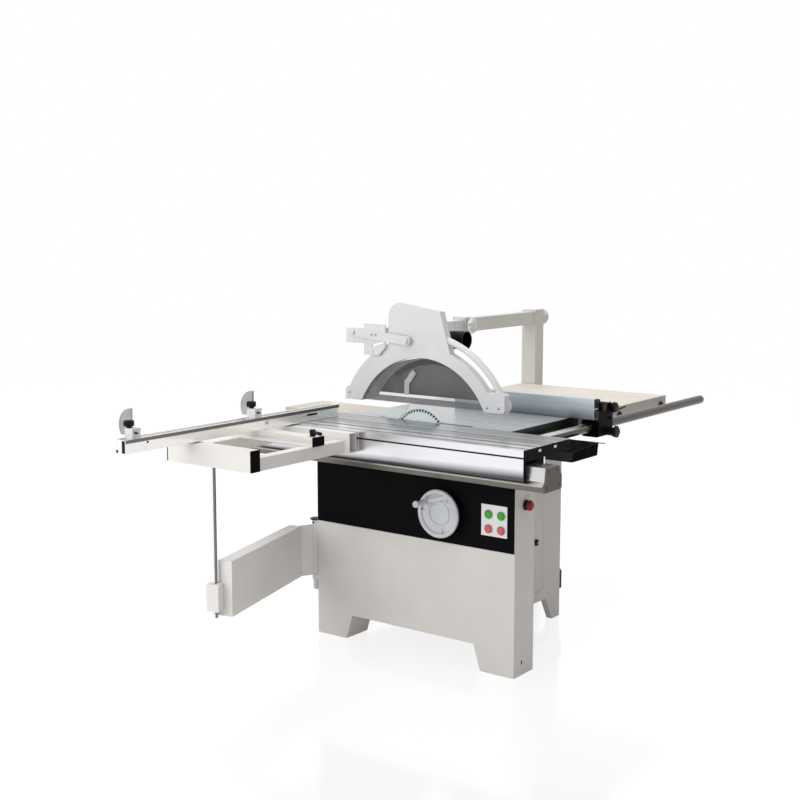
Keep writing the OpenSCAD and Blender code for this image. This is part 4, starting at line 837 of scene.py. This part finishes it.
@dataclass
class Cabinet(Assembly):
    """Front frame, rear body, door, control panel and its buttons."""

    button_middle: Pair = (-80.5, 563.0)
    button_pitch: float = 53.0
    plate_face: float = -10.0
    green_face: float = -11.0
    red_face: float = -13.0
    stop_place: Point = (0.0, 68.0, 624.0)
    knob_face: Point = (-232.0, 551.0, 355.0)
    leg_slot: Point = (-2.8, 54.0, 47.0)
    slot_shade_size: Box = (7.6, 15.6, 3.7)

    def build(self) -> None:
        """Dress the cabinet and add button faces, the stop's collar, the knob's screw and a dark plate in the
        leg's slot as painted shade.
        """
        self.dress(Paint.LIGHT, "cabinet_frame", "cabinet_body", "access_door")
        self.dress(Paint.BLACK, "control_panel")
        self.dress(Paint.TRAY, "tool_tray")
        self.dress(Paint.NYLON, "door_knob", "mains_inlet")
        self.dress(Paint.WHITE, "button_plate")
        self.dress(Paint.GREEN, "green_button_a", "green_button_b")
        self.dress(Paint.RED, "red_button_a", "red_button_b")
        self.dress(Paint.MUSHROOM, "emergency_stop")
        self.button_faces()
        collar = [(8.0, 0.0), (18.5, 0.0), (19.0, 1.5), (18.0, 8.0), (16.0, 10.0), (8.0, 10.0), (8.0, 0.0)]
        self.turn(Paint.NYLON, "base", "stop_collar", collar, [self.stop_place], Axis.RIGHT)
        self.turn(Paint.ZINC, "door", "knob_screw", screw_head(8.0, 1.6), [self.knob_face], Axis.RIGHT)
        # A dark plate in the leg's slot stands for the shade inside the hole, as painted shade
        self.box(Paint.NYLON, "base", "leg_slot_plug", self.slot_shade_size, self.leg_slot, Axis.RIGHT, 2.0, 0.4)

    def button_faces(self) -> None:
        """Put a shallow dished lens on each push button, and a ring round it on the plate."""
        lens = [(0.0, -0.2), (12.6, -0.2), (12.8, 0.5), (12.0, 1.2), (10.6, 1.4), (9.4, 0.9)]
        lens += [(5.0, 0.5), (0.0, 0.4)]
        ring = [(13.7, 0.0), (16.2, 0.0), (16.2, 1.0), (15.4, 1.8), (14.2, 1.8), (13.7, 1.2), (13.7, 0.0)]
        half = self.button_pitch / 2
        places = [(-half, half), (half, half), (-half, -half), (half, -half)]
        for number, (dx, dz) in enumerate(places, 1):
            x, z = self.button_middle[0] + dx, self.button_middle[1] + dz
            finish, face = (Paint.GREEN, self.green_face) if dz > 0 else (Paint.RED, self.red_face)
            button = f"button_{number}"
            self.turn(finish, button, f"button_lens_{number}", lens, [(x, face, z)], Axis.FRONT)
            self.turn(finish, "base", f"button_ring_{number}", ring, [(x, self.plate_face, z)], Axis.FRONT)


@dataclass
class SlideRail(Assembly):
    """Base rail, slider, rollers and their caps."""

    rail_end: float = 160.0
    rail_far: float = -1240.0
    cap_screws: Profile = ((-62.0, 724.0), (24.0, 724.0), (-48.0, 780.0), (8.0, 780.0))
    slider_end: float = 88.0
    nut_rows: Pair = (10.0, 115.0)
    nut_z: float = 838.0
    nut_size: Box = (18.0, 9.0, 1.0)
    groove: Point = (-562.0, -87.4, 822.0)
    strip_size: Box = (1288.0, 6.0, 0.4)

    def build(self) -> None:
        """Dress the slide and add the cap screws, a dark strip in the skirt's groove as painted shade, and
        the slot nuts.
        """
        self.dress(Paint.SLIDER, "slider")
        self.dress(Paint.RAIL, "base_rail")
        self.dress(Paint.CROSSBAR, "crossbar")
        self.dress(Paint.CAP, "rail_end_caps")
        self.dress(Paint.BLACK, "slider_fittings")
        self.dress(Paint.STEEL, "slider_rollers")
        near = ("rail_cap_screws", self.rail_end, Axis.RIGHT)
        far = ("rail_cap_screws_far", self.rail_far, Axis.LEFT)
        for name, x, axis in (near, far):
            spots = [(x, y, z) for y, z in self.cap_screws]
            self.turn(Paint.CAP, "base", name, screw_head(9.0, 3.0), spots, axis)
        # A dark strip in the skirt's groove stands for the groove's shade, as painted shade
        self.box(Paint.NYLON, "carriage", "skirt_strip", self.strip_size, self.groove, Axis.FRONT, 0.9, 0.2)
        for number, y in enumerate(self.nut_rows, 1):
            place = (self.slider_end, y, self.nut_z)
            self.box(Paint.ZINC, "carriage", f"slot_nut_{number}", self.nut_size, place, Axis.RIGHT, 2.0, 0.5)


@dataclass
class Crosscut(Assembly):
    """Crosscut frame, fence, flip stops and the swinging support."""

    stop_rows: tuple[tuple[str, float], ...] = (("stop_a", -908.0), ("stop_b", -313.0))
    knob_place: Pair = (-967.0, 932.8)
    pin_place: Pair = (-937.0, 918.0)
    fence_face: float = -935.0
    fence_end: float = -955.0
    hinge: Pair = (-938.0, 20.0)
    hinge_top: float = 452.3
    hinge_front: float = 2.2
    hinge_screw_z: float = 442.3

    def build(self) -> None:
        """Dress the crosscut table and its support, and add knobs, fence fittings, cap and screw."""
        self.dress(Paint.TUBE, "crosscut_beams", "swing_arm", "inner_arm")
        self.dress(Paint.WHITE, "stop_block_a", "stop_block_b")
        self.dress(Paint.FENCE, "crosscut_fence")
        self.dress(Paint.MILLED, "stop_flap_a", "stop_flap_b")
        self.dress(Paint.NYLON, "crossbar_lever")
        self.dress(Paint.LIGHT, "support_hinge")
        self.dress(Paint.CHROME, "support_post")
        for body, y in self.stop_rows:
            self.stop_fittings(body, y)
        self.fence_fittings()
        x, y = self.hinge
        cap = [(0.0, 0.0), (24.0, 0.0), (25.0, 1.0), (25.0, 3.8), (23.5, 5.0), (0.0, 5.4)]
        self.turn(Paint.NYLON, "base", "hinge_cap", cap, [(x, y, self.hinge_top)], Axis.UP)
        place = [(x, self.hinge_front, self.hinge_screw_z)]
        screw = Shapes.turned("hinge_screw", screw_head(8.0, 3.0), place, Axis.FRONT, 24)
        self.add(screw, Paint.NYLON, "base", Slot.STEEL)

    def stop_fittings(self, body: str, y: float) -> None:
        """Add a lobed knob on a stop's block and a small pin at its right.

        Args:
            body: Body of the stop.
            y: Place of both along the fence.
        """
        knob = [(0.0, 0.0), (8.0, 0.0), (8.0, 4.0), (15.0, 5.5), (17.0, 8.0), (17.0, 22.0)]
        knob += [(15.0, 25.0), (0.0, 26.5)]
        x, z = self.knob_place
        self.turn(Paint.NYLON, body, f"{body}_knob", knob, [(x, y, z)], Axis.UP, 48, (6, 0.09))
        pin = [(0.0, 0.0), (3.5, 0.0), (3.5, 11.0), (2.8, 12.0), (0.0, 12.0)]
        x, z = self.pin_place
        self.turn(Paint.NYLON, body, f"{body}_pin", pin, [(x, y, z)], Axis.RIGHT, 24)

    def fence_fittings(self) -> None:
        """Add the strip and plug on the fence's near end, and the fittings that show on its face, with a dark
        strip along its groove as painted shade.
        """
        body, end, x = "cross_fence", self.fence_end, self.fence_face
        place = (-943.0, end, 874.5)
        self.box(Paint.NYLON, body, "fence_end_strip", (12.0, 42.0, 2.0), place, Axis.FRONT, 2.0, 0.6)
        plug = [(0.0, 0.0), (5.0, 0.0), (5.0, 1.0), (4.0, 1.8), (0.0, 1.8)]
        self.turn(Paint.NYLON, body, "fence_end_plug", plug, [(-975.0, end, 858.0)], Axis.FRONT, 24)
        bolt, plug = screw_head(12.0, 3.5), dome_head(8.6, 0.8)
        self.turn(Paint.ZINC, body, "fence_bolt", bolt, [(x, -265.0, 875.0)], Axis.RIGHT, 24)
        self.turn(Paint.NYLON, body, "fence_hole_plug", plug, [(x, -855.0, 880.5)], Axis.RIGHT, 24)
        # A dark strip along the top of the face stands for the groove's shade, as painted shade
        place = (x, -395.0, 891.5)
        self.box(Paint.CHANNEL, body, "fence_channel", (1114.0, 12.0, 0.5), place, Axis.RIGHT, 0.6, 0.2)
        place = (x, -3.0, 876.0)
        self.box(Paint.NYLON, body, "fence_slot_insert", (60.0, 7.0, 3.4), place, Axis.RIGHT, 0.6, 0.2)


@dataclass
class Tables(Assembly):
    """Cast table, extension tables, fence bar and the rip fence with its carriage."""

    fence_start: float = -720.0
    fence_len: float = 660.0
    fence_middle: Pair = (691.0, 892.5)
    fence_size: Box = (40.0, 84.0, 3.0)
    end_slot: Box = (33.0, 37.0, 3.0)
    end_slot_shift: float = 1.5
    end_slot_rise: float = 21.0
    head_left: float = -134.0
    head_right: float = -69.3
    bar_clear: float = -84.0
    grip: Pair = (838.0, 884.0)
    lever: tuple[Point, Point] = ((-76.0, 846.0, 858.0), (-76.0, 972.0, 870.0))
    lock_knob: Point = (-38.9, 806.3, 790.0)

    def build(self) -> None:
        """Dress the tables, and add the rip fence's bar and the carriage's head."""
        self.dress(Paint.IRON, "main_table")
        self.dress(Paint.CREAM, "extension_table")
        self.dress(Paint.OUTFEED, "outfeed_table")
        self.dress(Paint.BAR, "fence_bar")
        self.dress(Paint.BLACK, "fence_carriage")
        self.dress(Paint.NYLON, "fence_lock_knob", "fence_clamp_knob")
        self.fence_bar()
        self.carriage_head()
        self.carriage_grips()

    def fence_bar(self) -> None:
        """Draw the rip fence as a bar a little shorter than its solid, with two dark slots in its end."""
        y, z = self.fence_middle
        outline, place = Shapes.round_box(*self.fence_size), (self.fence_start, y, z)
        bar = Shapes.plate("rip_fence_bar", outline, place, Axis.RIGHT, self.fence_len, 0.8)
        self.dress(Paint.RIP, "rip_fence")
        self.add(bar, Paint.RIP, "fence_body")
        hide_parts("rip_fence")
        end, rise = self.fence_start + self.fence_len, self.end_slot_rise
        for name, dz in (("rip_fence_slot_top", rise), ("rip_fence_slot_low", -rise)):
            place = (end, y + self.end_slot_shift, z + dz)
            self.box(Paint.NYLON, "fence_body", name, self.end_slot, place, Axis.RIGHT, 0.6, 0.2)

    def carriage_head(self) -> None:
        """Stand the carriage's tall head behind the fence, and its apron beside the round bar."""
        head = [(739.5, 846.0), (851.0, 846.0), (853.5, 849.0), (854.0, 886.0), (850.0, 898.0)]
        head += [(838.0, 903.0), (739.5, 903.0)]
        apron = [(836.3, 778.0), (850.0, 778.0), (853.0, 781.0), (853.0, 846.5), (836.3, 846.5)]
        tall = ("carriage_head", head, self.head_left, 2.5)
        low = ("carriage_apron", apron, self.bar_clear, 1.5)
        for name, outline, x, edge in (tall, low):
            place, wide = (x, 0.0, 0.0), self.head_right - x
            piece = Shapes.plate(name, np.array(outline), place, Axis.RIGHT, wide, edge)
            self.add(piece, Paint.BLACK, "fence_rider")

    def carriage_grips(self) -> None:
        """Add the ball grip, the lever and the cap of the lock knob."""
        grip = [(0.0, 0.0), (9.0, 0.0), (9.0, 4.0), (19.0, 6.0), (21.0, 10.0), (21.0, 20.0)]
        grip += [(17.0, 24.5), (0.0, 26.0)]
        place = [(self.head_right, *self.grip)]
        self.turn(Paint.NYLON, "fence_rider", "carriage_grip", grip, place, Axis.RIGHT, 48)
        path = np.linspace(self.lever[0], self.lever[1], 12)
        self.sweep(Paint.NYLON, "fence_rider", "carriage_lever", (7.0, 7.0, 3.4), 4, path, Axis.RIGHT)
        cap = [(0.0, 0.0), (20.0, 0.0), (23.0, 3.0), (23.0, 13.0), (20.0, 17.0), (0.0, 18.5)]
        place = [self.lock_knob]
        self.turn(Paint.NYLON, "lock_knob", "lock_knob_cap", cap, place, Axis.RIGHT, 60, (5, 0.08))


@dataclass
class Guard(Assembly):
    """Column, arm, link, casing, hood and its fittings.

    Attributes:
        arch: Middle of the round hood, along X and up.
        hood_r: Radius of the inside of its wall.
        hood_front: Inside of its front sheet.
        hood_back: Inside of its back sheet.
    """

    arch: Pair = (-559.0, 783.0)
    casing_face: float = 202.0
    casing_screws: Profile = ((-254.0, 936.0), (-203.0, 938.0), (-912.0, 947.0))
    link_face: float = 183.7
    link_bolts: Profile = ((-786.0, 1184.0), (-765.0, 1184.0))
    arm_knob: Point = (-845.0, 974.0, 1170.0)
    hood_r: float = 317.5
    hood_front: float = 208.3
    hood_back: float = 294.3
    foot_z: float = 922.4
    sill: float = 24.0
    sheet_low: float = 945.0
    rim_low: float = 927.0
    lining_top: float = 96.0
    baffle: Pair = (32.0, 128.0)
    strap: Profile = ((-686.0, 944.0), (-686.0, 1006.0), (-648.0, 1038.0))

    def build(self) -> None:
        """Dress the overhead guard and add its screws and the hood's inner pieces."""
        self.dress(Paint.COLUMN, "overhead_column", "overhead_arm")
        self.dress(Paint.WHITE, "arm_extension", "guard_link", "guard_casing", "guard_handle", "guard_roller")
        self.dress(Paint.ACRYLIC, "guard_hood")
        self.dress(Paint.NYLON, "dust_spout")
        spots = [(x, self.casing_face, z) for x, z in self.casing_screws]
        self.turn(Paint.ZINC, "guard", "guard_screws", dome_head(11.0, 3.0), spots, Axis.FRONT)
        spots = [(x, self.link_face, z) for x, z in self.link_bolts]
        self.turn(Paint.ZINC, "link", "link_bolts", screw_head(9.0, 3.0), spots, Axis.FRONT)
        star = [(0.0, 0.0), (20.0, 0.0), (31.0, 4.0), (33.0, 8.0), (32.0, 16.0), (25.0, 21.0)]
        star += [(11.0, 21.5), (0.0, 24.0)]
        self.turn(Paint.WHITE, "base", "arm_star_knob", star, [self.arm_knob], Axis.RIGHT, 84, (7, 0.1))
        self.hood_sheet()
        self.hood_lining()
        self.hood_trim()

    def rise(self, r: float, z: float) -> float:
        """Angle at which a circle of this radius about the arch's middle reaches a height."""
        return math.asin((z - self.arch[1]) / r)

    def arc(self, r: float, start: float, end: float, y: float, count: int) -> np.ndarray:
        """Points on a circle at depth y: the arch's middle + r cos t along X and + r sin t up."""
        t = np.linspace(start, end, count)
        return np.stack([self.arch[0] + r * np.cos(t), np.full_like(t, y), self.arch[1] + r * np.sin(t)], -1)

    def hood_sheet(self) -> None:
        """Hang a smoked sheet inside the hood's back wall: a circle's segment above a level edge."""
        r = self.hood_r - 3.0
        start = self.rise(r, self.sheet_low)
        t = np.linspace(start, math.pi - start, 64)
        outline = np.stack([r * np.cos(t), r * np.sin(t)], -1)
        place = (self.arch[0], self.hood_back - 1.0, self.arch[1])
        piece = Shapes.plate("hood_back_sheet", outline, place, Axis.FRONT, 2.0, 0.4)
        self.add(piece, Paint.SMOKED, "guard")

    def hood_lining(self) -> None:
        """Line the hood with a sheet round its left wall and a sill along its foot."""
        r, wide = self.hood_r - 1.5, self.hood_back - self.hood_front - 2.0
        end, middle = math.pi - self.rise(r, self.foot_z), (self.hood_front + self.hood_back) / 2
        path = self.arc(r, math.radians(self.lining_top), end, middle, 48)
        self.sweep(Paint.HAZE, "guard", "hood_lining", (1.2, wide, 0.4), 2, path, Axis.REAR)
        heights = np.array([self.foot_z, self.foot_z + self.sill]) - self.arch[1]
        low, high = np.sqrt(r**2 - heights**2) - 2.0
        outline = np.array([(-low, 0.0), (low, 0.0), (high, self.sill), (-high, self.sill)])
        place = (self.arch[0], self.hood_front + 3.0, self.foot_z)
        self.add(Shapes.plate("hood_sill", outline, place, Axis.FRONT, 1.6, 0.3), Paint.HAZE, "guard")

    def hood_trim(self) -> None:
        """Add a dark baffle under the hood's top, a bead along its back edge and a bent white strap.

        The strap runs straight most of the way to its bend, and then follows the end of the curve
        (1 - s)^2 foot + 2 s (1 - s) bend + s^2 tip.
        """
        start, end = (math.radians(angle) for angle in self.baffle)
        path = self.arc(self.hood_r - 18.0, start, end, self.hood_back - 6.0, 60)
        self.sweep(Paint.NYLON, "guard", "hood_baffle", (24.0, 2.0, 0.6), 3, path, Axis.REAR)
        r = self.hood_r - 4.5
        start = self.rise(r, self.rim_low)
        path = self.arc(r, start, math.pi - start, self.hood_back - 8.0, 72)
        self.sweep(Paint.COLUMN, "guard", "hood_rim", (5.0, 8.0, 1.2), 3, path, Axis.REAR)
        s = np.linspace(0.0, 1.0, 25)[:, None]
        foot, bend, tip = np.array(self.strap)
        curve = (1 - s) ** 2 * foot + 2 * s * (1 - s) * bend + s**2 * tip
        line = np.concatenate([foot + (bend - foot) * np.linspace(0.0, 0.8, 8)[:, None], curve[14:]])
        path = np.stack([line[:, 0], np.full(len(line), self.hood_back - 11.0), line[:, 1]], -1)
        self.sweep(Paint.WHITE, "guard", "hood_strap", (24.0, 3.0, 0.8), 3, path, Axis.REAR)


@dataclass
class SawUnit(Assembly):
    """Saw blade, knife, carrier, drive, lift and handwheel.

    Attributes:
        tooth: Share of the pitch and share of the gullet's depth at each point of one tooth.
        core_drop: Share of the gullet's depth by which the dark core, painted shade in the gullets, stays
            below the tips.
        core_half: Half of the core's thickness.
    """

    blade_middle: Point = (-594.0, 251.5, 773.0)
    blade_r: float = 125.0
    blade_thick: float = 3.0
    teeth: int = 54
    gullet: float = 15.0
    tooth: Profile = ((0.0, 0.0), (0.1, 0.7), (0.24, 1.0), (0.44, 0.78), (0.7, 0.38), (0.93, 0.05))
    core_drop: float = 0.14
    core_half: float = 0.4

    def build(self) -> None:
        """Dress the saw unit and the handwheel, and add the toothed blade."""
        self.dress(Paint.BLADE, "saw_blade", "scoring_blade", "riving_knife")
        self.toothed_blade()
        self.dress(Paint.STEEL, "guide_columns", "motor_pulley", "saw_arbor", "lift_screw")
        self.dress(Paint.CASTING, "saw_carrier", "main_motor", "scoring_unit")
        self.dress(Paint.RUBBER, "drive_belt")
        self.dress(Paint.WHEEL, "handwheel", "crank_handle")

    def toothed_blade(self) -> None:
        """Draw the blade with its deep gullets.

        The radius falls steeply from a tooth's tip into the gullet and rises slowly to the next tip; the
        teeth lean the way that the blade turns, towards the operator at the top.
        """
        share, depth = np.array(self.tooth).T
        turn = -2 * math.pi * (np.arange(self.teeth)[:, None] + share).reshape(-1) / self.teeth
        radius = self.blade_r - self.gullet * np.tile(depth, self.teeth)
        outline = np.stack([radius * np.cos(turn), radius * np.sin(turn)], -1)
        place, middle = self.blade_middle, self.blade_thick / 2
        piece = Shapes.plate("toothed_blade", outline, place, Axis.FRONT, self.blade_thick, 0.15)
        self.add(piece, Paint.BLADE, "arbor")
        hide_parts("saw_blade")
        # A dark disc behind the teeth darkens the gullets as painted shade
        r = self.blade_r - self.core_drop * self.gullet
        back, front = middle - self.core_half, middle + self.core_half
        core = [(0.0, back), (r, back), (r, front), (0.0, front)]
        self.turn(Paint.GULLET_SHADE, "arbor", "blade_core", core, [place], Axis.FRONT, 120)


@dataclass
class Studio:
    """Camera, floor and soft light.

    Attributes:
        place: Camera's place in millimetres from the working datum.
        azimuth: Camera's turn to the right of the front, in degrees.
        elevation: Angle by which it looks down, in degrees.
        lens: Focal length in millimetres on a 36 mm wide sensor.
        surround: Strength of the even light from all round.
        lamps: Name, place in metres and power in watts of each lamp.
        lamp_side: Side of a lamp in metres.
        target: Point in metres that the lamps look at.
        floor_half: Half of the floor's side in millimetres.
        floor_z: Height of the floor in millimetres, just under the feet.
        glow: Strength of the floor's own white.
        shadow_share: Share of the floor that takes shadows.
        mirror_share: Share of the floor that mirrors.
    """

    place: Point = (2307.9, -3753.7, 1593.75)
    azimuth: float = 36.87
    elevation: float = 7.61
    lens: float = 57.375
    surround: float = 0.38
    lamps: tuple[tuple[str, Point, float], ...] = (
        ("front", (-1.6, -4.6, 2.4), 130.0),
        ("top", (-0.4, 0.4, 4.4), 108.0),
    )
    lamp_side: float = 4.0
    target: Point = (0.0, 0.0, 0.7)
    floor_half: float = 12000.0
    floor_z: float = -0.5
    glow: float = 1.12
    shadow_share: float = 0.16
    mirror_share: float = 0.14

    def camera(self) -> None:
        """Set the camera at its place and turn it to the saw."""
        data = bpy.data.cameras.new("camera")
        data.lens = self.lens
        data.sensor_width = 36.0
        data.clip_end = 100.0
        obj = bpy.data.objects.new("camera", data)
        obj.location = ((np.array(self.place) - DATUM) * MM).tolist()
        obj.rotation_euler = (math.radians(90.0 - self.elevation), 0.0, math.radians(self.azimuth))
        bpy.context.scene.collection.objects.link(obj)
        bpy.context.scene.camera = obj

    def lamp(self, name: str, place: Point, power: float) -> None:
        """Hang one soft square lamp that looks at the middle of the saw.

        Args:
            name: Name of the lamp.
            place: Place in metres.
            power: Power in watts.
        """
        data = bpy.data.lights.new(name, "AREA")
        data.size = self.lamp_side
        data.energy = power
        obj = bpy.data.objects.new(name, data)
        away = np.array(place) - np.array(self.target)
        away /= np.linalg.norm(away)
        obj.location = place
        obj.visible_glossy = False
        obj.rotation_euler = (math.acos(away[2]), 0.0, math.atan2(away[1], away[0]) + math.pi / 2)
        bpy.context.scene.collection.objects.link(obj)

    @staticmethod
    def seen_rays(tree: Tree) -> Socket:
        """Tell the rays that show in the picture from the light's own bounces.

        Args:
            tree: Node tree of the world or the floor.

        Returns:
            1 for rays from the camera, off gloss and through glass, and 0 for the rest.
        """
        rays = add_node(tree, "LightPath").outputs
        seen = rays["Is Camera Ray"]
        for kind in ("Is Glossy Ray", "Is Transmission Ray"):
            seen = add_node(tree, "Math", {0: seen, 1: rays[kind]}, operation="MAXIMUM").outputs[0]
        return seen

    def world(self) -> None:
        """Light the scene with an even pale surround that shows as white."""
        world = bpy.data.worlds.new("surround")
        bpy.context.scene.world = world
        tree = new_tree(world)
        light = add_node(tree, "Background", Color=grey(1.0), Strength=self.surround).outputs[0]
        shown = add_node(tree, "Background", Color=grey(1.0), Strength=1.0).outputs[0]
        mix = add_node(tree, "MixShader", {0: self.seen_rays(tree), 1: light, 2: shown})
        add_node(tree, "OutputWorld", {"Surface": mix.outputs[0]})

    def floor(self) -> None:
        """Lay a pale floor that takes the saw's shadow and a faint, soft reflection."""
        line = np.linspace(-self.floor_half, self.floor_half, 9)
        x, y = np.meshgrid(line, line, indexing="ij")
        points = np.stack([x, y, np.full_like(x, self.floor_z)], -1).reshape(-1, 3)
        obj = Shapes.mesh("floor", points + DATUM, Shapes.grid_faces(9, 9, False))
        # Seamless studio floor: near white, with a faint broad haze
        material = bpy.data.materials.new("pale_floor")
        tree = new_tree(material)
        coords = add_node(tree, "TexCoord").outputs["Object"]
        haze = add_node(tree, "TexNoise", {"Vector": coords}, Scale=per_mm(900.0), Detail=3.0)
        ramp = add_node(tree, "ValToRGB", {"Fac": haze.outputs["Fac"]})
        tone = set_stops(ramp, [(0.3, grey(0.9)), (0.7, grey(0.92))])
        plain = add_node(tree, "BsdfDiffuse", {"Color": tone}).outputs[0]
        white = add_node(tree, "Emission", Color=grey(1.0), Strength=self.glow).outputs[0]
        gloss = add_node(tree, "BsdfGlossy", Color=grey(1.0), Roughness=0.12).outputs[0]
        shown = white
        for layer, share in ((plain, self.shadow_share), (gloss, self.mirror_share)):
            shown = add_node(tree, "MixShader", {1: shown, 2: layer}, Fac=share).outputs[0]
        mix = add_node(tree, "MixShader", {0: self.seen_rays(tree), 1: plain, 2: shown})
        add_node(tree, "OutputMaterial", {"Surface": mix.outputs[0]})
        obj.data.materials.append(material)

    def build(self) -> None:
        """Set up the whole studio."""
        bpy.context.scene.view_settings.view_transform = "Standard"
        self.camera()
        self.world()
        self.floor()
        for name, place, power in self.lamps:
            self.lamp(name, place, power)


def main() -> None:
    """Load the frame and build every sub-assembly."""
    logging.basicConfig(level=logging.INFO)
    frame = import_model()
    paint = Paint()
    for part in (Cabinet, SlideRail, Crosscut, Tables, Guard, SawUnit):
        part(paint, frame["nodes"]).build()
        LOG.info("%s dressed", part.__name__)
    Studio().build()


if __name__ == "__main__":
    main()
